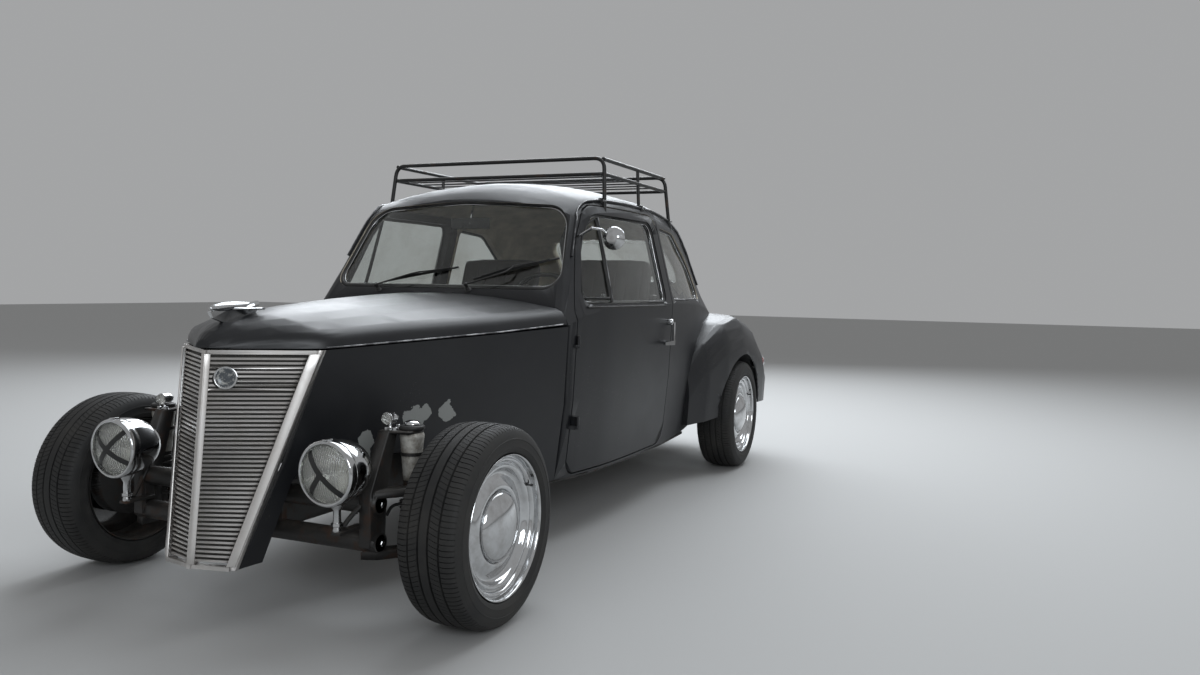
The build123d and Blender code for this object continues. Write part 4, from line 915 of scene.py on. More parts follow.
RIM_FACE = [
    (57.0, 0.0), (57.0, 97.0), (58.5, 103.5), (63.5, 106.0), (65.5, 110.5), (64.0, 119.0), (59.0, 130.0),
    (53.0, 141.0), (49.5, 149.0), (49.5, 155.0), (53.5, 160.5), (61.0, 164.0), (66.5, 167.0), (69.0, 171.0),
    (68.8, 175.5), (65.5, 178.5), (63.0, 181.0), (64.5, 184.0), (71.0, 186.5), (75.0, 189.5), (76.2, 193.5),
    (74.8, 196.8), (72.0, 198.8), (72.2, 201.0), (77.0, 202.4), (84.0, 203.2), (88.6, 204.4), (91.4, 206.8),
    (91.8, 208.6), (90.6, 209.7), (87.0, 209.9),
]
DISC_BACK = [(70.0, 209.8), (62.0, 204.2), (46.0, 201.0), (43.0, 196.0), (42.0, 160.0), (42.0, 0.0)]
BARREL = [
    (69.0, 209.7), (-60.0, 209.6), (-88.0, 209.8), (-91.6, 209.2), (-91.8, 206.5), (-88.0, 204.6),
    (-60.0, 203.6), (-20.0, 202.0), (44.0, 202.0), (60.0, 204.6), (69.0, 209.7),
]
CAP_FACE = [
    (58.5, 0.0), (58.5, 100.5), (62.0, 102.0), (66.0, 101.8), (70.5, 99.8), (75.5, 95.0), (80.5, 87.5),
    (85.5, 76.5), (90.0, 62.5), (93.6, 46.5), (96.2, 30.0), (97.5, 14.0), (97.9, 0.0),
]
VALVE = [
    (60.0, 0.0), (60.0, 5.2), (66.0, 4.4), (70.0, 3.2), (80.0, 3.0), (80.4, 4.2), (88.0, 4.2), (89.0, 2.6),
    (89.0, 0.0),
]
# In metres from the wheel's middle
VALVE_PLACE = (0, 0.1585, 0.0915)


def wheel_pieces():
    """One of each wheel piece about X, its outer side towards +X."""
    valve = turned(VALVE, 16)
    valve.location = VALVE_PLACE
    settle(valve)
    return {
        "tyre": (tyre(), RUBBER, 40),
        "rim_face": (turned(RIM_FACE + DISC_BACK, 96), CHROME, 40),
        "rim_barrel": (turned(BARREL, 96), CHASSIS, 40),
        "cap": (turned(CAP_FACE, 80), CHROME, 50),
        "valve": (valve, BAKELITE, 40),
    }


wheel_set = wheel_pieces()
for end in ("front", "rear"):
    for hand, side in SIDES:
        corner = f"{end}_{hand}"
        low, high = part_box(f"tyre_{corner}")
        for kind, (pattern, material, angle) in wheel_set.items():
            piece = copy_of(pattern)
            if side < 0:
                piece.data.transform(Matrix.Scale(-1, 4, (1, 0, 0)))
                piece.data.flip_normals()
            piece.location = (low + high) / 2
            name = f"road_tyre_{corner}" if kind == "tyre" else f"{kind}_{corner}"
            mount(piece, name, nodes[f"tyre_{corner}"]["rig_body"], material, angle)
            if kind == "tyre":
                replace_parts(piece, f"tyre_{corner}")
            if kind == "rim_face":
                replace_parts(piece, f"rim_{corner}")
for pattern, _, _ in wheel_set.values():
    bpy.data.objects.remove(pattern)

# Headlamps and signal lamps: turned about X, then swung so that their backs point to the tail

TO_TAIL = (0, 0, 90)
TO_NOSE = (0, 0, -90)
UPRIGHT = (0, -90, 0)


def outward(side):
    """The turn that swings a turned piece's far end away from the middle of the car."""
    return (0, 0, 90 - side * 90)


def inward(side):
    return (0, 0, 90 + side * 90)


LAMP_X, LAMP_Y, LAMP_Z = 408.0, -299.0, 462.0
LAMP_TRIM = [
    (-5.0, 82.6), (-6.4, 85.0), (-5.8, 88.4), (-3.0, 91.2), (2.0, 92.7), (12.0, 92.9), (21.0, 92.6),
    (22.5, 91.6), (20.0, 90.6), (10.0, 89.0), (3.0, 82.6), (-5.0, 82.6),
]
LAMP_BOWL = [
    (13.0, 88.6), (20.0, 91.4), (38.0, 91.2), (56.0, 89.6), (74.0, 86.4), (92.0, 81.2), (108.0, 73.8),
    (122.0, 64.0), (134.0, 51.8), (143.0, 37.0), (148.4, 19.0), (149.9, 0.0),
]
LAMP_REFLECTOR = [
    (74.0, 0.0), (73.0, 12.0), (69.0, 25.0), (61.0, 39.0), (49.0, 53.0), (34.0, 66.0), (18.0, 76.5),
    (8.0, 81.8), (8.0, 84.0), (20.0, 86.0), (90.0, 60.0), (90.0, 0.0),
]
LAMP_LENS = [
    (-23.0, 0.0), (-22.2, 14.0), (-19.8, 29.0), (-15.8, 44.0), (-10.2, 58.0), (-3.4, 70.0), (3.2, 79.0),
    (4.6, 82.3), (8.0, 82.3), (7.6, 78.0), (0.6, 68.0), (-6.4, 56.0), (-12.2, 42.4), (-16.2, 28.0),
    (-18.6, 13.6), (-19.4, 0.0),
]
BULB = [
    (24.0, 0.0), (25.6, 6.0), (30.0, 9.6), (36.0, 11.0), (43.0, 10.0), (50.0, 7.0), (72.0, 6.4), (72.0, 0.0),
]
BULB_SHIELD = [
    (14.0, 0.0), (15.4, 7.0), (18.4, 12.6), (25.0, 15.6), (25.0, 14.6), (19.0, 11.4), (16.4, 6.0),
    (15.4, 0.0),
]
LAMP_POST = [
    (0, 0), (0, 11), (4, 12.5), (9, 12.5), (13, 11), (62, 11), (70, 16), (86, 26), (110, 30), (110, 0),
]
POST_NUT = [(0, 0), (0, 15.5), (2, 17), (9, 17), (11, 15.5), (11, 0)]
POST_Y = -250
POST_BRACE = [(408, -225, 300), (418, -195, 330), (430, -172, 352)]
LAMP_WIRE = [(404, -160, 452), (404, -148, 436), (418, -160, 380), (424, -186, 330)]
# Each tape's tilt from level, and where it starts and ends as shares of the glass's radius
TAPES = {
    "left": (("first", -45, -0.97, 0.97), ("second", 50, -0.97, 0.1)),
    "right": (("first", 47, -0.97, 0.97), ("second", -32, -0.97, 0.97)),
}
# In metres
GLASS_RADIUS = 0.082
TAPE_WIDTH = 0.0165
TAPE_LIFT = 0.0007
TAPE_THICKNESS = 0.0005


def across_car(points, side):
    """Points given for the car's left, on the side asked for."""
    return [(side * x, y, z) for x, y, z in points]


def tape_strip(name, lens, side, tilt, start, end):
    """A strip of tape pressed over the domed glass, from one share of its radius to another."""
    deselect()
    bpy.ops.mesh.primitive_grid_add(x_subdivisions=40, y_subdivisions=4, size=1)
    strip = bpy.context.object
    strip.scale = (GLASS_RADIUS * (end - start), TAPE_WIDTH, 1)
    settle(strip)
    strip.location = (GLASS_RADIUS * (start + end) / 2, 0, 0)
    settle(strip)
    placed(strip, (side * LAMP_X, LAMP_Y - 60, LAMP_Z), (90, -tilt, 0))
    apply_modifier(
        strip,
        "SHRINKWRAP",
        target=lens,
        wrap_method="PROJECT",
        use_project_x=False,
        use_project_y=True,
        use_project_z=False,
        use_positive_direction=True,
        use_negative_direction=True,
        offset=TAPE_LIFT,
    )
    apply_modifier(strip, "SOLIDIFY", thickness=TAPE_THICKNESS, offset=0)
    return mount(strip, name, "car", TAPE, 50)


def headlamp(hand, side):
    """Trim, bowl, reflector, bulb, glass and tapes on a post that stands on its bracket."""
    place = (side * LAMP_X, LAMP_Y, LAMP_Z)
    spun(f"lamp_trim_{hand}", LAMP_TRIM, 72, place, TO_TAIL, CHROME, 50)
    bowl = spun(f"lamp_bowl_{hand}", LAMP_BOWL, 72, place, TO_TAIL, CHROME, 50)
    spun(f"lamp_reflector_{hand}", LAMP_REFLECTOR, 72, place, TO_TAIL, REFLECTOR, 50)
    spun(f"lamp_bulb_{hand}", BULB, 24, place, TO_TAIL, FROSTED, 50)
    spun(f"bulb_shield_{hand}", BULB_SHIELD, 24, place, TO_TAIL, CHROME, 50)
    lens = spun(f"lamp_glass_{hand}", LAMP_LENS, 72, place, TO_TAIL, LAMP_GLASS, 50)
    if side > 0:
        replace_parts(bowl, "headlamps")
        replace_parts(lens, "headlamp_lenses")
    for label, tilt, start, end in TAPES[hand]:
        tape_strip(f"lamp_tape_{label}_{hand}", lens, side, tilt, start, end)
    x = side * LAMP_X
    plate(f"trim_clip_{hand}", (x - 7, -306.5, 553.5), (x + 7, -276, 557.5), 1.5, CHROME)
    spun(f"lamp_post_{hand}", LAMP_POST, 32, (x, POST_Y, 290), UPRIGHT, DULL_CHROME)
    spun(f"post_nut_{hand}", POST_NUT, 6, (x, POST_Y, 306), UPRIGHT, DULL_CHROME, 20)
    near, far = sorted((side * 397, side * 427.5))
    plate(f"post_bracket_{hand}", (near, -262, 283), (far, -149, 292), 2, CHASSIS)
    piped(f"post_brace_{hand}", rounded(across_car(POST_BRACE, side), 14), 7, CHASSIS, 35)
    piped(f"lamp_wire_{hand}", rounded(across_car(LAMP_WIRE, side), 16), 4, SEAL, 35)


SIGNAL_X, SIGNAL_Y, SIGNAL_Z = 450.0, -95.0, 590.0
SIGNAL_GLASS = [(0.3, 0.0), (1.2, 6.0), (3.8, 11.6), (8.0, 15.8), (13.0, 17.6), (17.0, 17.8), (17.0, 0.0)]
SIGNAL_BODY = [
    (15.0, 17.2), (15.4, 18.8), (18.6, 18.95), (19.6, 18.2), (36.0, 18.6), (46.0, 16.6), (55.0, 12.6),
    (61.0, 7.0), (63.9, 0.0), (30.0, 0.0), (30.0, 16.8), (15.0, 17.2),
]
SIGNAL_FOOT = [(0, 0), (0, 12), (2.5, 12), (4, 7), (8, 5), (26, 5), (34, 8), (34, 0)]


def signal_lamp(hand, side):
    place = (side * SIGNAL_X, SIGNAL_Y, SIGNAL_Z)
    body = spun(f"signal_body_{hand}", SIGNAL_BODY, 40, place, TO_TAIL, CHROME, 50)
    spun(f"signal_glass_{hand}", SIGNAL_GLASS, 40, place, TO_TAIL, CLEAR_LENS, 50)
    if side > 0:
        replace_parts(body, "signal_lamps")
    spun(f"signal_stem_{hand}", SIGNAL_FOOT, 24, (side * SIGNAL_X, -65, 557), UPRIGHT, CHROME)


for hand, side in SIDES:
    headlamp(hand, side)
for hand, side in SIDES:
    signal_lamp(hand, side)

# Glass: each pane is a drawn outline, cut into a net and dropped on the CAD pane, then given its thickness.
# A corner of an outline is where its two straight sides would meet, and the radius that rounds it.

SCREEN_OUTLINE = [(536, 968, 66), (472, 1308, 120), (0, 1332, 900), (-472, 1308, 120), (-536, 968, 66)]
REAR_OUTLINE = [(372, 1004, 70), (332, 1236, 70), (0, 1258, 900), (-332, 1236, 70), (-372, 1004, 70)]
DOOR_OUTLINE = [(954, 915, 40), (1076, 1184, 110), (1176, 1280, 70), (1772, 1282, 55), (1772, 915, 45)]
QUARTER_OUTLINE = [(1862, 922, 40), (1862, 1268, 40), (2110, 1250, 120), (2355, 1080, 150), (2408, 922, 45)]
SMALLEST_RADIUS = 4.0
GLASS_INSET = 2.0
GLASS_THICKNESS = 4.0
NET_SIZE = 42
MISSED_REACH = 0.3


def drawn(corners, inset, steps=9):
    """A closed flat outline with true arcs at its corners, drawn in by a few millimetres."""
    turning = 0.0
    for a, b in zip(corners, corners[1:] + corners[:1]):
        turning += a[0] * b[1] - b[0] * a[1]
    inside = 1 if turning > 0 else -1
    sides = []
    for a, b in zip(corners, corners[1:] + corners[:1]):
        a, b = Vector(a[:2]), Vector(b[:2])
        along = (b - a).normalized()
        sides.append((a + Vector((-along.y, along.x)) * inset * inside, along))
    route = []
    for index, (corner, (other, onward)) in enumerate(zip(corners, sides)):
        start, along = sides[index - 1]
        cross = along.x * onward.y - along.y * onward.x
        apart = other - start
        meeting = start + along * ((apart.x * onward.y - apart.y * onward.x) / cross)
        radius = max(SMALLEST_RADIUS, corner[2] - inset)
        bend = along.angle(onward)
        first = meeting - along * radius * math.tan(bend / 2)
        side = 1 if cross > 0 else -1
        centre = first + Vector((-along.y, along.x)) * radius * side
        for step in range(steps + 1):
            turn = Matrix.Rotation(side * bend * step / steps, 2)
            route.append(centre + turn @ (first - centre))
    return route


def dropped(skin, spot, direction):
    """Where a line from a spot meets a skin, or the skin's nearest place where the line misses it."""
    hit, place, _, _ = skin.ray_cast(spot, direction)
    if not hit:
        _, place, _, _ = skin.closest_point_on_mesh(spot + direction * MISSED_REACH)
    return place


def pane(node_name, body, outline, spread, direction, name):
    """One smooth pane: an outline filled, cut into a net, dropped on the CAD glass and thickened."""
    route = drawn(outline, GLASS_INSET)
    glass = sheet(name, [spread(a, b) for a, b in route], [tuple(range(len(route)))])
    edit(glass)
    first, low = (min(spot[axis] for spot in route) for axis in (0, 1))
    last, high = (max(spot[axis] for spot in route) for axis in (0, 1))
    flat_axis = (1, 0, 0) if abs(direction.y) > 0.5 else (0, 1, 0)
    columns = int((last - first) / NET_SIZE)
    for index in range(1, columns):
        cut(at(*spread(first + (last - first) * index / columns, low)), flat_axis)
    rows = int((high - low) / NET_SIZE)
    for index in range(1, rows):
        cut(at(*spread(first, low + (high - low) * index / rows)), UP)
    leave_edit()
    for vertex in glass.data.vertices:
        vertex.co = dropped(skins[node_name], vertex.co, direction)
    face_outwards(glass)
    if sum(face.normal.dot(direction) for face in glass.data.polygons) > 0:
        glass.data.flip_normals()
    apply_modifier(glass, "SOLIDIFY", thickness=GLASS_THICKNESS / 1000, offset=-1.0, use_even_offset=True)
    return mount(glass, name, body, GLASS, 40)


def front_of(y):
    return lambda a, b: (a, y, b)


def beside(x):
    return lambda a, b: (x, a, b)


# CAD node, piece, body, outline, its plane, the way to the glass, and the radius and inset of its seal
PANES = [
    ("windscreen", "windscreen", "car", SCREEN_OUTLINE, front_of(AHEAD_OF_SCREEN), BACKWARD, 9.5, 3.0),
    ("rear_window", "rear_window", "car", REAR_OUTLINE, front_of(BEHIND_REAR_WINDOW), FORWARD, 13.0, 0.5),
]
for hand, side in SIDES:
    plane, towards = beside(side * BESIDE_CAR), (-side, 0, 0)
    door_window = f"door_window_{hand}"
    PANES.append((door_window, door_window, f"door_{hand}", DOOR_OUTLINE, plane, towards, 7.0, 3.0))
    quarter = f"quarter_window_{hand}"
    PANES.append(("quarter_windows", quarter, "car", QUARTER_OUTLINE, plane, towards, 7.5, 3.0))
SEAL_LIFT = 4.0
BEAD_LIFT = 3.0
BEAD_SIZE = 1.9
BEAD_GAP = 4.0
panes = {}
for node_name, piece_name, body, outline, spread, towards, radius, inset in PANES:
    direction = Vector(towards)
    glass = pane(node_name, body, outline, spread, direction, f"{piece_name}_pane")
    panes.setdefault(node_name, []).append(glass)
    for label, inset, lift, thickness, material in (
        ("seal", inset, SEAL_LIFT, radius, SEAL),
        ("bead", radius + BEAD_GAP, BEAD_LIFT, BEAD_SIZE, BRIGHT_BEAD),
    ):
        line = []
        for a, b in drawn(outline, inset):
            line.append(to_millimetres(dropped(glass, at(*spread(a, b)), direction)) - direction * lift)
        piped(f"{piece_name}_{label}", line, thickness, material, 60, body, closed=True)
for node_name, made in panes.items():
    bpy.data.objects.remove(skins[node_name], do_unlink=True)
    for glass in made:
        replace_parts(glass, node_name)
    skins[node_name] = made[0]

# Wipers, gutters and window frames

# Each wiper's pivot, elbow, heel and toe, across and up on the windscreen
WIPERS = {
    "left": ((150, 992), (300, 1018), (152, 1004), (486, 1090)),
    "right": ((-276, 985), (-130, 1006), (-250, 992), (66, 1050)),
}
SPINDLE = [(0, 0), (0, 13), (3, 13), (5, 9), (12, 8), (14, 6), (26, 6), (28, 8), (34, 8), (36, 5), (36, 0)]
SPINDLE_WAY = Vector((0, -0.62, 0.78))
SPINDLE_REACH = 30
PIVOT_DROP = 30
CLIP_LIFT = 24
ELBOW_LIFT = 34
YOKE_LIFT = 14
SPINE_LIFT = 13
BLADE_LIFT = 6
BLADE_STEPS = 10


def on_screen(x, z, lift):
    """A place on the windscreen's outer face, lifted off it."""
    return on_skin("windscreen", [(x, AHEAD_OF_SCREEN, z)], BACKWARD, lift)[0]


def wiper(hand, pivot, elbow, heel, toe):
    """Spindle, arm, blade with its spine, and the yokes that hold it."""

    def along_blade(share):
        return (heel[0] + (toe[0] - heel[0]) * share, heel[1] + (toe[1] - heel[1]) * share)

    base, _ = landing("body_shell", (pivot[0], AHEAD_OF_SCREEN, pivot[1] - PIVOT_DROP), BACKWARD)
    mount(aimed(turned(SPINDLE, 24), base, SPINDLE_WAY), f"wiper_spindle_{hand}", "car", SEAL, 40)
    clip = on_screen(*along_blade(0.5), CLIP_LIFT)
    knee = on_screen(*elbow, ELBOW_LIFT)
    arm = rounded([base + SPINDLE_WAY * SPINDLE_REACH, knee, clip], 60)
    piped(f"wiper_arm_{hand}", arm, 3.4, SEAL, 50)
    line = [along_blade(index / BLADE_STEPS) for index in range(BLADE_STEPS + 1)]
    piped(f"wiper_blade_{hand}", [on_screen(x, z, BLADE_LIFT) for x, z in line], 4.2, SEAL, 50)
    piped(f"wiper_spine_{hand}", [on_screen(x, z, SPINE_LIFT) for x, z in line[1:-1]], 3.0, SEAL, 50)
    for share, label in ((0.22, "heel"), (0.78, "toe")):
        yoke = [clip, on_screen(*along_blade(share), YOKE_LIFT)]
        piped(f"wiper_yoke_{label}_{hand}", yoke, 2.4, SEAL, 50)


for hand, places in WIPERS.items():
    wiper(hand, *places)

# The gutter's line along the roof, as places back and up
GUTTER = [
    (985, 1098), (1018, 1152), (1058, 1218), (1102, 1282), (1160, 1324), (1260, 1338), (1450, 1342),
    (1650, 1341), (1850, 1336), (2050, 1318), (2220, 1280), (2350, 1212), (2450, 1112), (2500, 1000),
]
for hand, side in SIDES:
    starts = rounded([(side * BESIDE_CAR, y, z) for y, z in GUTTER], 60, 4)
    piped(f"roof_gutter_{hand}", on_skin("body_shell", starts, (-side, 0, 0), 5.0), 4.6, PAINT)
    piped(f"gutter_lip_{hand}", on_skin("body_shell", starts, (-side, 0, 0), 10.5), 1.8, EDGE_METAL_AND_HIGHLIGHT)

VENT_POST = [(1190, 922), (1206, 1060), (1222, 1266)]
VENT_FRAME = [
    (992, 938), (1022, 1016), (1062, 1118), (1104, 1182), (1146, 1238), (1206, 1262), (1210, 1230),
    (1195, 1060), (1182, 938),
]
VENT_CATCH = [(0, 0), (0, 7), (8, 9), (12, 8), (14, 0)]
WAIST_HEIGHT = 904


def vent_window(hand, side):
    """The door glass's swivelling front part: its post, frame and catch, and the strip under the glass."""
    window, door = f"door_window_{hand}", f"door_{hand}"

    def on_window(points, lift, skin=window):
        return on_skin(skin, [(side * BESIDE_CAR, y, z) for y, z in points], (-side, 0, 0), lift)

    piped(f"vent_post_{hand}", on_window(VENT_POST, 3.0), 6.5, SEAL, 60, door)
    piped(f"vent_post_strip_{hand}", on_window(VENT_POST, 9.4), 1.8, EDGE_METAL_AND_HIGHLIGHT, 60, door)
    corners = rounded([(0, y, z) for y, z in VENT_FRAME + VENT_FRAME[:1]], 12, 3)[:-1]
    surround = on_window([(corner.y, corner.z) for corner in corners], 3.0)
    piped(f"vent_frame_{hand}", surround, 5.0, SEAL, 60, door, closed=True)
    catch = on_window([(1166, 952)], -12.0)[0]
    spun(f"vent_catch_{hand}", VENT_CATCH, 20, catch, inward(side), CHROME, 40, door)
    sill = [(y, WAIST_HEIGHT) for y in (985, 1200, 1400, 1600, 1740)]
    piped(f"waist_strip_{hand}", on_window(sill, 2.5, door), 4.0, SEAL, 60, door)


for hand, side in SIDES:
    vent_window(hand, side)

# Roof rack: bent hoops front and rear, rails between them, flat slats, feet clamped in the gutters

HOOP_FRONT = [(538, 1287, 1292), (521, 1314, 1523), (-521, 1314, 1523), (-538, 1287, 1292)]
HOOP_REAR = [(540, 2100, 1252), (521, 2060, 1523), (-521, 2060, 1523), (-540, 2100, 1252)]
RACK_LOW = [(523, 2068, 1456), (523, 1304, 1456), (-523, 1304, 1456), (-523, 2068, 1456)]
RACK_MIDDLE = (0, 2068, 1456)
RACK_RAIL = [(517, 1314, 1519), (517, 2060, 1519)]
RACK_STAY = [(531, 1700, 1300), (519, 1702, 1521)]
HOOP_RADIUS, RING_RADIUS, STAY_RADIUS = 8.6, 8.2, 7.6
RACK_FRONT, RACK_LENGTH = 1300, 772
SLAT_SHARES = (0.13, 0.26, 0.39, 0.52, 0.65, 0.78)
SLAT_REACH, SLAT_HALF, SLAT_LOW, SLAT_HIGH = 519, 11, 1453.5, 1458.4
CLAMP_PLACES = (("front", 1289, 1336), ("middle", 1701, 1340), ("rear", 2094, 1306))
CLAMP_BOLT = [(0, 0), (0, 7), (5, 7), (6, 5.6), (6, 4), (14, 4), (14, 0)]

rack = [tube(rounded(hoop, 46, 7), HOOP_RADIUS) for hoop in (HOOP_FRONT, HOOP_REAR)]
low_ring = rounded([RACK_MIDDLE] + RACK_LOW + [RACK_MIDDLE], 30, 6)[:-1]
rack.append(tube(low_ring, RING_RADIUS, closed=True))
for side in (-1, 1):
    rack.append(tube(across_car(RACK_RAIL, side), HOOP_RADIUS))
    rack.append(tube(across_car(RACK_STAY, side), STAY_RADIUS))
for share in SLAT_SHARES:
    y = RACK_FRONT + RACK_LENGTH * share
    rack.append(slab((-SLAT_REACH, y - SLAT_HALF, SLAT_LOW), (SLAT_REACH, y + SLAT_HALF, SLAT_HIGH), 1.8))
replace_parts(mount(join(rack), "rack_frame", "car", RACK_STEEL, 50), "roof_rack")
for hand, side in reversed(SIDES):
    for label, y, z in CLAMP_PLACES:
        place, normal = landing("body_shell", (side * BESIDE_CAR, y, z), (-side, 0, 0))
        x, y, z = place + normal * 2
        plate(f"rack_clamp_{label}_{hand}", (x - 9, y - 15, z - 12), (x + 9, y + 15, z + 16), 3, RACK_STEEL)
        spot = (x + side * 8, y, z + 4)
        spun(f"rack_bolt_{label}_{hand}", CLAMP_BOLT, 6, spot, outward(side), DULL_CHROME, 25)

# Cabin: pleated seats and bench, steering wheel, mirror and dash fittings

# Places on a pad as shares of its half width or half length, and how deep its seams go in metres
PLEATED_WIDTH = 0.78
BORDER = 0.86
PAD_CUTS = (-BORDER, -0.8, -0.4, 0.0, 0.4, 0.8, BORDER)
SEAM_DEPTH = 0.007
SEAM_END = 0.82
PAD_RIM = 0.99
CORNER_START, CORNER_SPAN = 1.7, 0.3
CORNER_PINCH = 0.03


def pad(size, crown, pleats, seam, roll):
    """A padded block lying flat at the origin, crowned on top, with sewn pleats across its face."""
    width, length, height = [value / 1000 for value in size]
    deselect()
    bpy.ops.mesh.primitive_cube_add(size=1)
    piece = bpy.context.object
    piece.scale = (width, length, height)
    edit(settle(piece))
    places = [0.0, -BORDER * width / 2, BORDER * width / 2]
    for index in range(1, pleats):
        places.append((2 * index / pleats - 1) * PLEATED_WIDTH * width / 2)
    for x in sorted(set(places)):
        for edge in (-seam / 2000, 0.0, seam / 2000):
            cut((x + edge, 0, 0), (1, 0, 0))
    for share in PAD_CUTS:
        cut((0, share * length / 2, 0), (0, 1, 0))
    cut((0, 0, height * 0.1), UP)
    top = height / 2
    for vertex in bmesh.from_edit_mesh(piece.data).verts:
        u = vertex.co.x / (width / 2)
        v = vertex.co.y / (length / 2)
        if vertex.co.z > top - 0.0001:
            swell = max(0.0, 1 - abs(u) ** 3) * max(0.0, 1 - abs(v) ** 3)
            in_seam = any(abs(vertex.co.x - x) < 0.0002 for x in places) and abs(v) < SEAM_END
            vertex.co.z += crown / 1000 * swell - (SEAM_DEPTH if in_seam else 0.0)
        pinch = roll / 1000 * (abs(vertex.co.z) / top) ** 2
        if abs(u) > PAD_RIM:
            vertex.co.x -= math.copysign(pinch, u)
        if abs(v) > PAD_RIM:
            vertex.co.y -= math.copysign(pinch, v)
        corner = max(0.0, abs(u) + abs(v) - CORNER_START) / CORNER_SPAN
        vertex.co.x *= 1 - CORNER_PINCH * corner
        vertex.co.y *= 1 - CORNER_PINCH * corner
    bmesh.update_edit_mesh(piece.data)
    bpy.ops.mesh.normals_make_consistent(inside=False)
    leave_edit()
    return apply_modifier(piece, "SUBSURF", levels=2, render_levels=2)


def upholstered(name, piece, place, lean):
    mount(placed(piece, place, (lean, 0, 0)), name, "car", HIDE, 60)
    return piece


SEAT_X = 300
SEAT_LEAN = 17.2
BENCH_LEAN = 22.5
# Width, length and height, crown, number of pleats, width of a seam, and how far the rims are drawn in
SEAT_CUSHION = ((432, 436, 104), 14, 6, 7, 9)
SEAT_BACK = ((428, 606, 92), 14, 6, 7, 10)
BENCH_CUSHION = ((960, 246, 112), 12, 9, 7, 9)
BENCH_BACK = ((950, 410, 78), 12, 9, 7, 9)


def front_seat(hand, side):
    """Cushion and back on a pan, with two feet on the floor and two hinges at the back."""
    x = side * SEAT_X
    cushion = upholstered(f"seat_cushion_{hand}", pad(*SEAT_CUSHION), (x, 1517, 455), 4)
    upholstered(f"seat_back_{hand}", pad(*SEAT_BACK), (x, 1843, 822), 90 - SEAT_LEAN)
    if side > 0:
        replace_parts(cushion, "front_seats")
    plate(f"seat_pan_{hand}", (x - 190, 1310, 330), (x + 190, 1730, 402), 10, CHASSIS)
    for label, rail_x in (("inner", x - 150), ("outer", x + 150)):
        foot = [(rail_x, 1330, 256), (rail_x, 1345, 335), (rail_x, 1690, 335), (rail_x, 1710, 256)]
        piped(f"seat_foot_{label}_{hand}", rounded(foot, 30), 9, CHASSIS, 50)
    for label, post_x in (("inner", x - 205), ("outer", x + 205)):
        hinge = [(post_x, 1700, 395), (post_x, 1748, 470), (post_x, 1790, 640)]
        piped(f"seat_hinge_{label}_{hand}", rounded(hinge, 40), 8, DULL_CHROME, 50)


for hand, side in SIDES:
    front_seat(hand, side)
bench = upholstered("bench_cushion", pad(*BENCH_CUSHION), (0, 2117, 452), 3)
upholstered("bench_back", pad(*BENCH_BACK), (0, 2345, 708), 90 - BENCH_LEAN)
plate("bench_box", (-470, 2000, 262), (470, 2230, 398), 14, CARPET)
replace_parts(bench, "rear_bench")

COLUMN_RISE = 0.42
RIM_NORMAL = Vector((0, -math.cos(COLUMN_RISE), -math.sin(COLUMN_RISE)))
RIM_UP = Vector((0, -math.sin(COLUMN_RISE), math.cos(COLUMN_RISE)))
WHEEL_HUB = Vector((330, 1240, 870)) + RIM_NORMAL * 10
RIM_RADIUS = 180
BOSS = [(-6, 0), (-5, 22), (0, 34), (8, 44), (20, 47), (34, 40), (46, 26), (60, 22), (60, 0)]


def on_rim(angle, radius, forward=0.0):
    """A place on the steering wheel, its angle from the car's left in degrees."""
    turn = math.radians(angle)
    across = Vector((math.cos(turn), 0, 0)) + RIM_UP * math.sin(turn)
    return WHEEL_HUB + across * radius + RIM_NORMAL * forward


wheel_parts = [tube([on_rim(angle, RIM_RADIUS) for angle in range(0, 360, 5)], 9.6, closed=True, sides=4)]
for angle in (10, 170):
    spoke = [on_rim(angle, RIM_RADIUS - 6), on_rim(angle, 100, 10), on_rim(angle, 30, 12)]
    wheel_parts.append(tube(spoke, 6.5))
wheel_parts.append(aimed(turned(BOSS, 40), WHEEL_HUB, RIM_NORMAL))
wheel_parts.append(tube([WHEEL_HUB + RIM_NORMAL * 40, WHEEL_HUB + RIM_NORMAL * 322], 17))
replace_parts(mount(join(wheel_parts), "driver_wheel", "car", BAKELITE, 50), "steering_wheel")

mirror_back = plate("inner_mirror_back", (-94, 1105.5, 1217), (94, 1111, 1264), 2.6, BAKELITE, 3, 50)
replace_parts(mirror_back, "cabin_mirror")
plate("inner_mirror_glass", (-90, 1110.5, 1221), (90, 1113, 1260), 1.0, MIRROR)
ceiling, _ = landing("body_shell", (0, 1165, 1250), UP)
stem = rounded([(0, 1109, 1240), (0, 1118, 1275), (0, 1150, ceiling.z - 2)], 20)
piped("inner_mirror_stem", stem, 4.5, CHROME, 35)

DASH_FACE = 956
DIALS = ((330, 60.0), (150, 32.0))
DIAL_HEIGHT = 800
KNOB_HEIGHT = 742
KNOB_PLACES = (-120, -160, 90, 210)
SPEAKER_BARS, BAR_PITCH = 9, 7
KNOB = [(0, 0), (0, 6), (8, 5), (10, 11), (20, 11), (23, 8), (23, 0)]
GEAR_KNOB = [(0, 0), (1, 9), (6, 17), (15, 22), (24, 22), (33, 17), (39, 8), (40, 0)]
GEAR_LEVER = [(0, 1160, 345), (0, 1180, 520), (0, 1240, 640)]
HAND_BRAKE = [(0, 1480, 345), (0, 1420, 380), (0, 1300, 400)]
for x, radius in DIALS:
    inner, outer = radius - 5, radius + 3
    ring = [(0, inner), (-2, radius - 1), (1, radius + 2), (6, outer), (6, inner), (0, inner)]
    spun(f"dial_ring_{x}", ring, 48, (x, DASH_FACE + 5, DIAL_HEIGHT), TO_NOSE, CHROME, 50)
    face = [(0, 0), (0, radius - 3), (3, radius - 3), (3, 0)]
    spun(f"dial_face_{x}", face, 48, (x, DASH_FACE + 2, DIAL_HEIGHT), TO_TAIL, BAKELITE, 50)
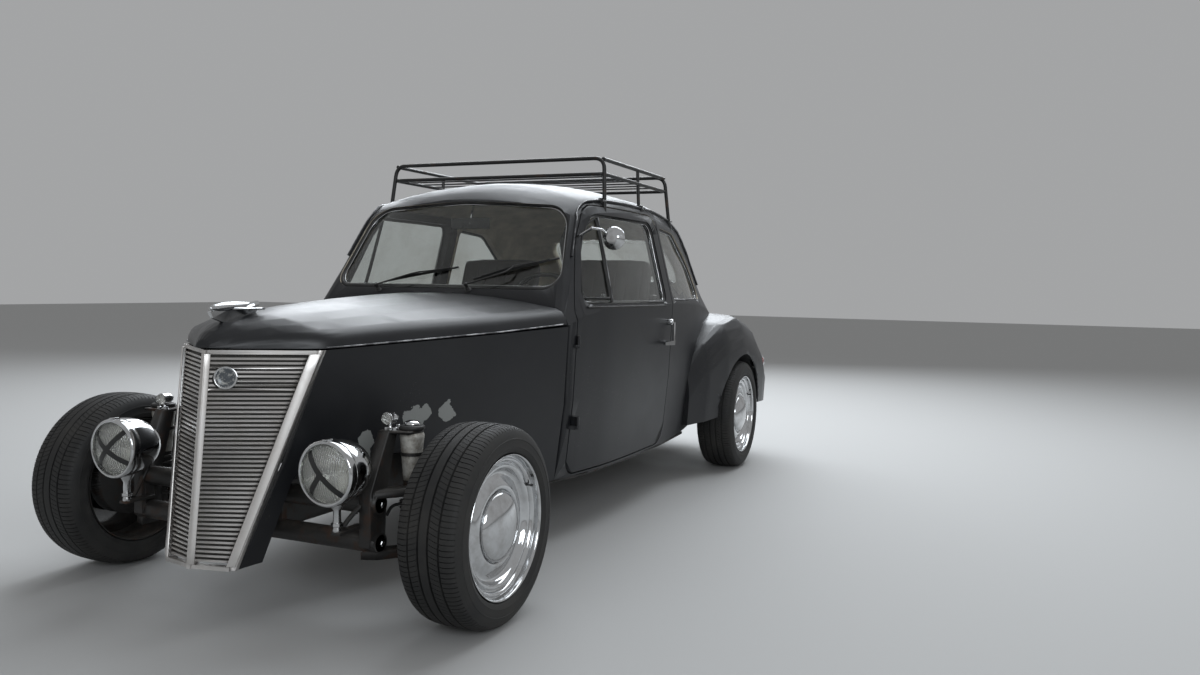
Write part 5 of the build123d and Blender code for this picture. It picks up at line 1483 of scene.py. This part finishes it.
plate("speaker_panel", (-60, DASH_FACE, 765), (60, DASH_FACE + 5.5, 835), 3, DASH)
for index in range(SPEAKER_BARS):
    z = 772 + index * BAR_PITCH
    plate(f"speaker_bar_{index}", (-52, DASH_FACE + 4, z), (52, DASH_FACE + 8, z + 3), 1, DULL_CHROME)
for index, x in enumerate(KNOB_PLACES):
    spun(f"dash_knob_{index}", KNOB, 24, (x, DASH_FACE + 1, KNOB_HEIGHT), TO_TAIL, BAKELITE)
plate("glove_box_lid", (-420, DASH_FACE, 740), (-200, DASH_FACE + 4.5, 870), 6, DASH)
piped("gear_lever", rounded(GEAR_LEVER, 60), 6, DULL_CHROME, 50)
spun("gear_knob", GEAR_KNOB, 28, (0, 1238, 632), (0, -70, 0), BAKELITE, 60)
piped("hand_brake", rounded(HAND_BRAKE, 40), 8, DULL_CHROME, 50)

# Linings: the faces of the shell and doors that look into the cabin are cloth and vinyl, not paint

CABIN_START, CABIN_END, CABIN_FLOOR = 900, 2900, 560
HEART_START, HEART_END, HEART_HEIGHT = 1350, 2200, 1000
SHELL_FACING, DOOR_FACING = 0.25, 0.45
WAIST = 905


def looks_inside(face):
    """Whether a face of the shell looks at the middle of the cabin from within its walls."""
    middle = to_millimetres(face.calc_center_median())
    if not (CABIN_START < middle.y < CABIN_END and middle.z > CABIN_FLOOR):
        return False
    heart = Vector((0, min(max(middle.y, HEART_START), HEART_END), HEART_HEIGHT))
    return face.normal.dot((heart - middle).normalized()) > SHELL_FACING


def looks_at_cabin(face):
    """Whether a face of a door looks at the other door, below the glass."""
    middle = to_millimetres(face.calc_center_median())
    side = 1 if middle.x > 0 else -1
    return face.normal.x * side < -DOOR_FACING and middle.z < WAIST


def lined(skin, material, test):
    """Gives a second material to the faces of a skin that pass a test."""
    skin.data.materials.append(material)
    edit(skin)
    picked(skin, "faces", test)
    skin.active_material_index = 1
    bpy.ops.object.material_slot_assign()
    leave_edit()


lined(skins["body_shell"], LINING, looks_inside)
for hand, _ in SIDES:
    lined(skins[f"door_{hand}"], DOOR_CARD, looks_at_cabin)

# Front end: reservoir cans, bolts, hoses and hood edge

CAN = [
    (0.0, 0.0), (0.0, 22.0), (3.0, 25.0), (22.0, 27.0), (80.0, 31.0), (118.0, 34.6), (128.0, 36.4),
    (134.0, 36.6), (140.0, 35.0), (143.0, 33.0), (143.0, 0.0),
]
CAN_BAND = [(0.0, 31.0), (0.0, 33.2), (10.0, 34.0), (10.0, 31.0), (0.0, 31.0)]
CAN_CAP = [(0, 0), (0, 36.2), (2, 37.6), (9, 37.6), (11.5, 36.0), (12.5, 30.0), (12.5, 0)]
CAP_DOME = [(0, 0), (0, 23), (2.5, 24.6), (7, 23.6), (11, 19), (14, 12), (15.5, 0)]
CAN_X, CAN_Y = 500, -26
SPRING_RADIUS, SPRING_FOOT, SPRING_RISE = 31, 252, 1.12
SPRING_STEPS, STEPS_A_TURN = 127, 18
TORSION_CAP = [(0, 0), (0, 24), (4, 28), (12, 30), (12, 0)]
TORSION_BOLT = [(0, 0), (0, 8), (2, 9.5), (9, 9.5), (11, 8), (11, 0)]
BRACKET_BOLT = [(0, 0), (0, 9), (1.5, 9), (2, 7.4), (8, 7.4), (9, 6), (9, 0)]
BRACKET_BOLTS = ((440, -70), (440, -14), (470, -70))
BRAKE_HOSE = [(436, -60, 300), (452, -58, 330), (500, -60, 344), (548, -52, 322), (560, -40, 300)]
GREASE_NIPPLE = [(0, 0), (0, 5), (5, 5), (8, 2.6), (12, 2.6), (13, 0)]


def front_fittings(hand, side):
    """A can in its spring, the ends of the torsion bars, bolts, hose and nipple of one front wheel."""
    x, y = side * CAN_X, CAN_Y
    spun(f"damper_can_{hand}", CAN, 40, (x, y, 404), UPRIGHT, BARE_ALLOY, 50)
    spun(f"damper_band_{hand}", CAN_BAND, 40, (x, y, 480), UPRIGHT, CHASSIS, 50)
    spun(f"damper_cap_{hand}", CAN_CAP, 40, (x, y, 556.5), UPRIGHT, SEAL, 50)
    spun(f"damper_dome_{hand}", CAP_DOME, 40, (x, y, 568.5), UPRIGHT, CHROME, 50)
    spring = []
    for step in range(SPRING_STEPS):
        turn = step * math.pi * 2 / STEPS_A_TURN
        across, along = SPRING_RADIUS * math.cos(turn), SPRING_RADIUS * math.sin(turn)
        spring.append((x + across, y + along, SPRING_FOOT + step * SPRING_RISE))
    piped(f"damper_spring_{hand}", spring, 4.6, CHASSIS)
    for level, z in (("low", 240), ("high", 352)):
        cap_place, bolt_place = (side * 474, -140, z), (side * 472, -140, z)
        spun(f"torsion_cap_{level}_{hand}", TORSION_CAP, 32, cap_place, inward(side), CHASSIS)
        spun(f"torsion_bolt_{level}_{hand}", TORSION_BOLT, 6, bolt_place, outward(side), DULL_CHROME, 20)
    for index, (bolt_x, bolt_y) in enumerate(BRACKET_BOLTS):
        place = (side * bolt_x, bolt_y, 556)
        spun(f"bracket_bolt_{index}_{hand}", BRACKET_BOLT, 6, place, UPRIGHT, DULL_CHROME, 20)
    piped(f"brake_hose_{hand}", rounded(across_car(BRAKE_HOSE, side), 26), 5, SEAL)
    spun(f"grease_nipple_{hand}", GREASE_NIPPLE, 12, (side * 540, -66, 392), UPRIGHT, DULL_CHROME)


for hand, side in SIDES:
    front_fittings(hand, side)

# A bright metal strip along each hood edge: a painted highlight that stands in for the reflection off the
# hood's flange edge
HOOD_EDGE = [(588, 800, 841), (490, 500, 820), (370, 150, 803), (299, -50, 793), (272, -135, 790)]
for hand, side in SIDES:
    route = [(side * (x + 1.5), y, z + 2.5) for x, y, z in HOOD_EDGE]
    piped(f"hood_edge_{hand}", rounded(route, 60), 2.4, EDGE_METAL_AND_HIGHLIGHT, 60, "hood")

# Badge: the CAD barrel is cut off the grille's copy, and a thin blank disc lies on the swept bars

BADGE_X, BADGE_Z = 53.0, 706.0
BADGE_HALF_WIDTH = 38
BADGE_SINK = 3
BADGE_FACING = Vector((0.569, -0.815, 0.105))
BARREL_AXIS = at(50, 0, 704)
# In metres: how far from the axis a face's middle and its corners may be
BARREL_MIDDLE, BARREL_RADIUS = 0.0312, 0.0303
BADGE_RING = [
    (-7.0, 25.0), (-7.0, 32.0), (1.2, 33.2), (3.6, 32.4), (4.4, 30.2), (3.2, 28.0), (1.4, 26.0),
    (-7.0, 25.0),
]
BADGE_FACE = [(-6.0, 0.0), (-6.0, 26.4), (1.6, 26.2), (2.0, 19.4), (1.0, 18.0), (1.3, 10.0), (2.2, 0.0)]


def on_barrel(face):
    """Whether a face is part of the barrel that carries the badge in the CAD."""

    def apart(place):
        return math.hypot(place.x - BARREL_AXIS.x, place.z - BARREL_AXIS.z)

    if apart(face.calc_center_median()) >= BARREL_MIDDLE:
        return False
    return all(apart(vertex.co) < BARREL_RADIUS for vertex in face.verts)


edit(skins["grille"])
picked(skins["grille"], "faces", on_barrel)
bpy.ops.mesh.delete(type="FACE")
leave_edit()


def bar_front(x, z):
    """How far forward the grille's bars reach at a place across and up, in millimetres."""
    for step in (0, 4, -4, 8, -8, 12, -12):
        hit, place, _, _ = skins["grille"].ray_cast(at(x, -700, z + step), Vector(BACKWARD))
        if hit:
            return to_millimetres(place).y
    return None


bars_beside = [bar_front(BADGE_X + step, BADGE_Z) for step in (-BADGE_HALF_WIDTH, BADGE_HALF_WIDTH)]
badge_place = Vector((BADGE_X, sum(bars_beside) / 2 - BADGE_SINK, BADGE_Z)) + BADGE_FACING * 0.2
for name, profile, material in (("badge_ring", BADGE_RING, CHROME), ("badge_face", BADGE_FACE, ENAMEL)):
    mount(aimed(turned(profile, 56), badge_place, BADGE_FACING), name, "car", material, 50)

# Tail: cooling louvres, lid handle, lamp housing, lamp rims and tailpipes

LOUVRES = 9
LOUVRE_START, LOUVRE_PITCH = 92, 24
LOUVRE_LOW, LOUVRE_HIGH = 949, 986
SLOT_SHIFT, SLOT_SHORTER = 8, 2
for index in range(LOUVRES):
    for hand, side in SIDES:
        x = side * (LOUVRE_START + index * LOUVRE_PITCH)
        ends = [(x, BEHIND_CAR, z) for z in (LOUVRE_LOW, LOUVRE_HIGH)]
        ends = on_skin("body_shell", ends, FORWARD, 1.0)
        piped(f"louvre_{index}_{hand}", ends, 6.4, PAINT)
        # Beside each louvre a thin dark rubber rod lies on the lid: painted shade standing in for the dark
        # opening under the louvre
        x += side * SLOT_SHIFT
        ends = [(x, BEHIND_CAR, z) for z in (LOUVRE_LOW + SLOT_SHORTER, LOUVRE_HIGH - SLOT_SHORTER)]
        ends = on_skin("body_shell", ends, FORWARD, 0.4)
        piped(f"louvre_opening_shade_{index}_{hand}", ends, 2.6, SEAL)

# The lid handle's points: height, and how far each stands off the lid
LID_HANDLE = ((470, 0), (472, 24), (500, 30), (540, 22), (548, 0))
PLATE_LAMP = [(-6, 0), (-6, 46), (4, 47), (22, 44), (38, 36), (50, 22), (56, 8), (57, 0)]
PLATE_LAMP_SCALE = (1, 1.35, 0.62)
route = [on_skin("engine_lid", [(0, BEHIND_CAR, z)], FORWARD, lift)[0] for z, lift in LID_HANDLE]
piped("lid_handle", rounded(route, 12), 7.5, CHROME, 60, "engine_lid", sides=4)
spot, facing = landing("engine_lid", (0, BEHIND_CAR, 700), FORWARD)
housing = turned(PLATE_LAMP, 48)
housing.scale = PLATE_LAMP_SCALE
mount(aimed(housing, spot, facing), "plate_lamp_housing", "engine_lid", PAINT, 60)

TAIL_RIM = [
    (0.0, 38.0), (-2.0, 41.0), (-1.0, 44.4), (4.0, 46.2), (12.0, 46.4), (16.0, 44.8), (16.0, 40.0),
    (4.0, 38.0), (0.0, 38.0),
]
TAILPIPE = [(0, 16), (0, 21.0), (2, 22.4), (60, 22.0), (60, 19.0), (2, 19.0), (0, 16)]
tail_lamps_back = to_millimetres(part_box("tail_lamps")[1]).y
for hand, side in SIDES:
    place = (side * 690, tail_lamps_back - 26, 548)
    spun(f"tail_lamp_rim_{hand}", TAIL_RIM, 56, place, TO_TAIL, CHROME, 50)
    spun(f"tailpipe_tip_{hand}", TAILPIPE, 40, (side * 85, 3488, 266), TO_NOSE, DULL_CHROME, 50)

# Painted shade behind the grille: a dark finned sheet that follows the prow a little behind the bars,
# standing in for the dark between them

# Heights and reaches in millimetres
GRILLE_LOW, GRILLE_HIGH = [to_millimetres(corner).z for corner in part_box("grille")]
SHADE_SETBACK = 14.0
SHADE_THICKNESS = 3.0
SHADE_ROWS = 12
SHADE_COLUMNS = 4
SHADE_MARGIN = 10
NARROWEST_SHADE = 20
WIDEST_GRILLE = 320
BACK_OF_PROW = -250
REACH_STEP = 6

low, high = GRILLE_LOW + 22, GRILLE_HIGH - 14
rows = []
edges = []
for index in range(SHADE_ROWS + 1):
    z = low + (high - low) * index / SHADE_ROWS
    reach = 0
    while reach < WIDEST_GRILLE and bar_front(reach + REACH_STEP, z) is not None:
        reach += REACH_STEP
    edges.append((z, reach))
    reach = max(reach - SHADE_MARGIN, NARROWEST_SHADE)
    row = []
    for column in range(-SHADE_COLUMNS, SHADE_COLUMNS + 1):
        x = reach * column / SHADE_COLUMNS
        front = bar_front(x, z)
        row.append((x, (BACK_OF_PROW if front is None else front) + SHADE_SETBACK, z))
    rows.append(row)
shade_sheet = sheet("grille_shade_sheet", *net(rows))
apply_modifier(shade_sheet, "SOLIDIFY", thickness=SHADE_THICKNESS / 1000, offset=0.0)
mount(shade_sheet, "grille_shade_sheet", "car", GRILLE_SHADE)

# Grille trims: a smooth strip down each side and one down the prow

TRIM_THICKNESS = 5.0
TRIM_ROUNDING = 0.3
TRIM_STEPS = 12
TRIM_WIDTH = 23
RIDGE_HALF, FLANK_HALF = 4, 14
# How far in from the grille's edge the bars are felt for, to lay the side trims on them
OUTER_INSET, INNER_INSET = 6, 30


def band(rows, name, material):
    """A smooth strip of metal through rows of places across it."""
    strip = sheet(name, *net(rows))
    apply_modifier(strip, "SOLIDIFY", thickness=TRIM_THICKNESS / 1000, offset=0.0)
    face_outwards(strip)
    width = TRIM_THICKNESS * TRIM_ROUNDING / 1000
    apply_modifier(strip, "BEVEL", width=width, segments=2, limit_method="ANGLE")
    return mount(strip, name, "car", material, 50)


def fitted(values):
    """The straight line that runs best through a list of (height, value) pairs."""
    count = len(values)
    mean_z = sum(z for z, _ in values) / count
    mean_v = sum(v for _, v in values) / count
    rise = sum((z - mean_z) * (v - mean_v) for z, v in values)
    slope = rise / sum((z - mean_z) ** 2 for z, _ in values)
    return lambda z: mean_v + slope * (z - mean_z)


low, high = GRILLE_LOW + 12, GRILLE_HIGH - 10
heights = [low + (high - low) * index / TRIM_STEPS for index in range(TRIM_STEPS + 1)]
edge_at = fitted(edges)
outer_y = fitted([(z, bar_front(reach - OUTER_INSET, z)) for z, reach in edges])
inner_y = fitted([(z, bar_front(reach - INNER_INSET, z)) for z, reach in edges])
ridge_y = fitted([(z, bar_front(0, z)) for z, _ in edges])
flank_y = fitted([(z, bar_front(FLANK_HALF, z)) for z, _ in edges])
for hand, side in SIDES:
    rows = []
    for z in heights:
        edge = edge_at(z) + 3
        rows.append([(side * edge, outer_y(z) - 3, z), (side * (edge - TRIM_WIDTH), inner_y(z) - 4, z)])
    band(rows, f"grille_side_trim_{hand}", TRIM_STEEL)
rows = []
for z in heights:
    ridge, flank = ridge_y(z), flank_y(z) - 2
    row = [(-FLANK_HALF, flank, z), (-RIDGE_HALF, ridge, z), (RIDGE_HALF, ridge, z), (FLANK_HALF, flank, z)]
    rows.append(row)
band(rows, "grille_centre_trim", TRIM_STEEL)

# Ornament: a streamlined body that lies along the CAD's wings

BIRD = [(-96, 0), (-93, 4), (-84, 8.5), (-62, 12.5), (-34, 13.5), (0, 12), (40, 8), (76, 4), (96, 0)]
ornament_low, ornament_high = [to_millimetres(corner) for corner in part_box("hood_ornament")]
perch = (0, (ornament_low.y + ornament_high.y) / 2, ornament_high.z - 15)
spun("ornament_body", BIRD, 28, perch, (0, -4, 90), CHROME, 60, "hood")

# Engine: flat four with its fan housing, inside the plain block's own room, so the open lid shows a real one

ENGINE_LOW, ENGINE_HIGH = [to_millimetres(corner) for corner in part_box("engine_block")]
ENGINE_ROOM = ENGINE_HIGH - ENGINE_LOW
FINS = 9
# The pulleys' radii are shares of their own, and so are the air cleaner's heights and radii
PULLEY = [
    (-12, 0), (-12, 0.86), (-9, 1.0), (-5, 1.0), (-1, 0.84), (1, 0.84), (5, 1.0), (9, 1.0), (12, 0.86),
    (12, 0),
]
DYNAMO = [(-88, 0), (-88, 34), (-80, 42), (76, 42), (80, 36), (88, 30), (88, 0)]
AIR_CLEANER = [(0, 0), (0, 0.9), (0.08, 1.0), (0.7, 1.0), (0.82, 0.9), (0.9, 0.3), (1.0, 0.28), (1.0, 0)]
CARBURETTOR = [(-60, 0), (-60, 16), (-40, 22), (0, 22), (4, 26), (12, 26), (12, 0)]
DISTRIBUTOR = [(-70, 0), (-70, 13), (-20, 15), (-18, 27), (10, 30), (24, 24), (24, 0)]
PLUGS = ((0.8, 0.36), (0.9, 0.36), (0.62, 0.42), (0.56, 0.42))
BELT_STEPS = 16
BELT_SEAT = 0.93


def in_engine(x, y, z):
    """A place in the engine's room, from shares of its width, depth and height."""
    room = ENGINE_ROOM
    return (ENGINE_LOW.x + room.x * x, ENGINE_LOW.y + room.y * y, ENGINE_LOW.z + room.z * z)


def engine_slab(name, low, high, edge, material):
    return plate(name, in_engine(*low), in_engine(*high), edge, material, 3, 40)


def engine_bank(hand, inner, outer):
    """One side's two cylinders: fins over their barrels, and the rocker cover outside them."""
    for index in range(FINS):
        low = inner + (outer - inner) * index / FINS
        high = low + (outer - inner) * 0.045
        ends = (min(low, high), 0.14, 0.10), (max(low, high), 0.76, 0.345)
        engine_slab(f"cylinder_fin_{hand}_{index}", *ends, 1.0, ALLOY)
    ends = (min(inner, outer), 0.22, 0.14), (max(inner, outer), 0.68, 0.32)
    engine_slab(f"cylinder_barrels_{hand}", *ends, 12, ALLOY)
    start = 0.0 if hand == "right" else 0.92
    engine_slab(f"rocker_cover_{hand}", (start, 0.12, 0.06), (start + 0.08, 0.78, 0.33), 12, CHROME)


case = engine_slab("engine_case", (0.32, 0.0, 0.0), (0.68, 0.86, 0.5), 14, ALLOY)
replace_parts(case, "engine_block")
engine_slab("fan_housing", (0.22, 0.28, 0.5), (0.78, 0.66, 0.96), 34, BAKELITE)
engine_slab("cooling_tin", (0.0, 0.06, 0.34), (1.0, 0.84, 0.385), 5, BAKELITE)
engine_bank("right", 0.30, 0.09)
engine_bank("left", 0.70, 0.91)

crank, dynamo = Vector(in_engine(0.5, 0.92, 0.2)), Vector(in_engine(0.5, 0.92, 0.74))
crank_radius, dynamo_radius = 0.15 * ENGINE_ROOM.z, 0.1 * ENGINE_ROOM.z
for label, centre, radius in (("crank", crank, crank_radius), ("dynamo", dynamo, dynamo_radius)):
    grooved = [(x, share * radius) for x, share in PULLEY]
    spun(f"{label}_pulley", grooved, 44, centre, TO_TAIL, DULL_CHROME)
spun("dynamo_body", DYNAMO, 40, (dynamo.x, dynamo.y - 100, dynamo.z), TO_TAIL, ALLOY)
belt = []
for centre, radius, first in ((crank, crank_radius, 180), (dynamo, dynamo_radius, 0)):
    for step in range(BELT_STEPS + 1):
        turn = math.radians(first + 180 * step / BELT_STEPS)
        belt.append(centre + Vector((math.cos(turn), 0, math.sin(turn))) * radius * BELT_SEAT)
piped("fan_belt", belt, 5.5, SEAL, closed=True)
cleaner_height, cleaner_radius = 0.2 * ENGINE_ROOM.z, 0.12 * ENGINE_ROOM.x
cleaner = [(x * cleaner_height, share * cleaner_radius) for x, share in AIR_CLEANER]
spun("air_cleaner", cleaner, 44, in_engine(0.26, 0.82, 0.62), UPRIGHT, BAKELITE)
spun("carburettor", CARBURETTOR, 32, in_engine(0.26, 0.82, 0.6), UPRIGHT, ALLOY)
spun("distributor", DISTRIBUTOR, 32, in_engine(0.68, 0.82, 0.62), UPRIGHT, BAKELITE)
for index, (x, z) in enumerate(PLUGS):
    lead = [in_engine(0.68, 0.82, 0.67), in_engine((0.68 + x) / 2, 0.8, 0.74), in_engine(x, 0.74, z)]
    piped(f"plug_lead_{index}", rounded(lead, 40), 3.4, SEAL)

# Studio: a pale floor, soft lamps and the photograph's camera

STAGE_COLOUR = (0.44, 0.44, 0.435, 1)
STAGE_SIZE = 60
SKY_COLOUR = (0.80, 0.81, 0.82, 1)
SKY_STRENGTH = 0.46
LAMP_COLOUR = (0.90, 0.95, 1.0)


def studio_floor():
    material = bpy.data.materials.new("studio_floor")
    material.use_nodes = True
    shader = material.node_tree.nodes["Principled BSDF"]
    shader.inputs["Base Color"].default_value = STAGE_COLOUR
    shader.inputs["Roughness"].default_value = 0.9
    deselect()
    bpy.ops.mesh.primitive_plane_add(size=STAGE_SIZE, location=(0, 0, 0))
    floor = bpy.context.object
    floor.name = "studio_floor"
    dress(floor, material)


def studio_world():
    world = bpy.data.worlds.new("studio_world")
    bpy.context.scene.world = world
    world.use_nodes = True
    backdrop = world.node_tree.nodes["Background"]
    backdrop.inputs["Color"].default_value = SKY_COLOUR
    backdrop.inputs["Strength"].default_value = SKY_STRENGTH


def soft_lamp(name, place, aim, size, watts):
    light = bpy.data.lights.new(name, "AREA")
    light.color = LAMP_COLOUR
    light.shape = "RECTANGLE"
    light.size, light.size_y = size
    light.energy = watts
    lamp = bpy.data.objects.new(name, light)
    bpy.context.scene.collection.objects.link(lamp)
    lamp.location = place
    lamp.rotation_euler = (Vector(aim) - Vector(place)).to_track_quat("-Z", "Y").to_euler()


studio_floor()
studio_world()
soft_lamp("tail_softbox", (-2.5, 5.5, 4.4), (0, -0.6, 0.9), (7.0, 3.5), 420)
soft_lamp("overhead_softbox", (0.3, 2.0, 4.8), (0, -0.4, 0.6), (5.0, 5.0), 230)
soft_lamp("nose_softbox", (4.5, -5.5, 2.8), (0, -0.8, 0.6), (3.0, 2.0), 100)

# The photograph's view: focal length in pixels of a 1200 wide frame, place from the front axle, angles
FOCAL_PIXELS = 944.0
FRAME_WIDTH = 1200.0
SENSOR = 36.0
VIEW_PLACE = (2105.0, -2341.0, 986.0)
VIEW_YAW = math.radians(23.5)
VIEW_PITCH = math.radians(-3.1)
VIEW_ROLL = math.radians(1.0)

across = Vector((math.cos(VIEW_YAW), math.sin(VIEW_YAW), 0))
ahead = Vector((-math.sin(VIEW_YAW), math.cos(VIEW_YAW), 0)) * math.cos(VIEW_PITCH)
ahead.z = math.sin(VIEW_PITCH)
above = across.cross(ahead)
right = across * math.cos(VIEW_ROLL) + above * math.sin(VIEW_ROLL)
upward = above * math.cos(VIEW_ROLL) - across * math.sin(VIEW_ROLL)
optics = bpy.data.cameras.new("photo_camera")
optics.sensor_width = SENSOR
optics.lens = FOCAL_PIXELS / FRAME_WIDTH * SENSOR
camera = bpy.data.objects.new("photo_camera", optics)
bpy.context.scene.collection.objects.link(camera)
turned_to_view = Matrix((right, upward, -ahead)).transposed().to_4x4()
camera.matrix_world = Matrix.Translation(at(*VIEW_PLACE)) @ turned_to_view
bpy.context.scene.camera = camera
bpy.context.scene.view_settings.view_transform = "Standard"
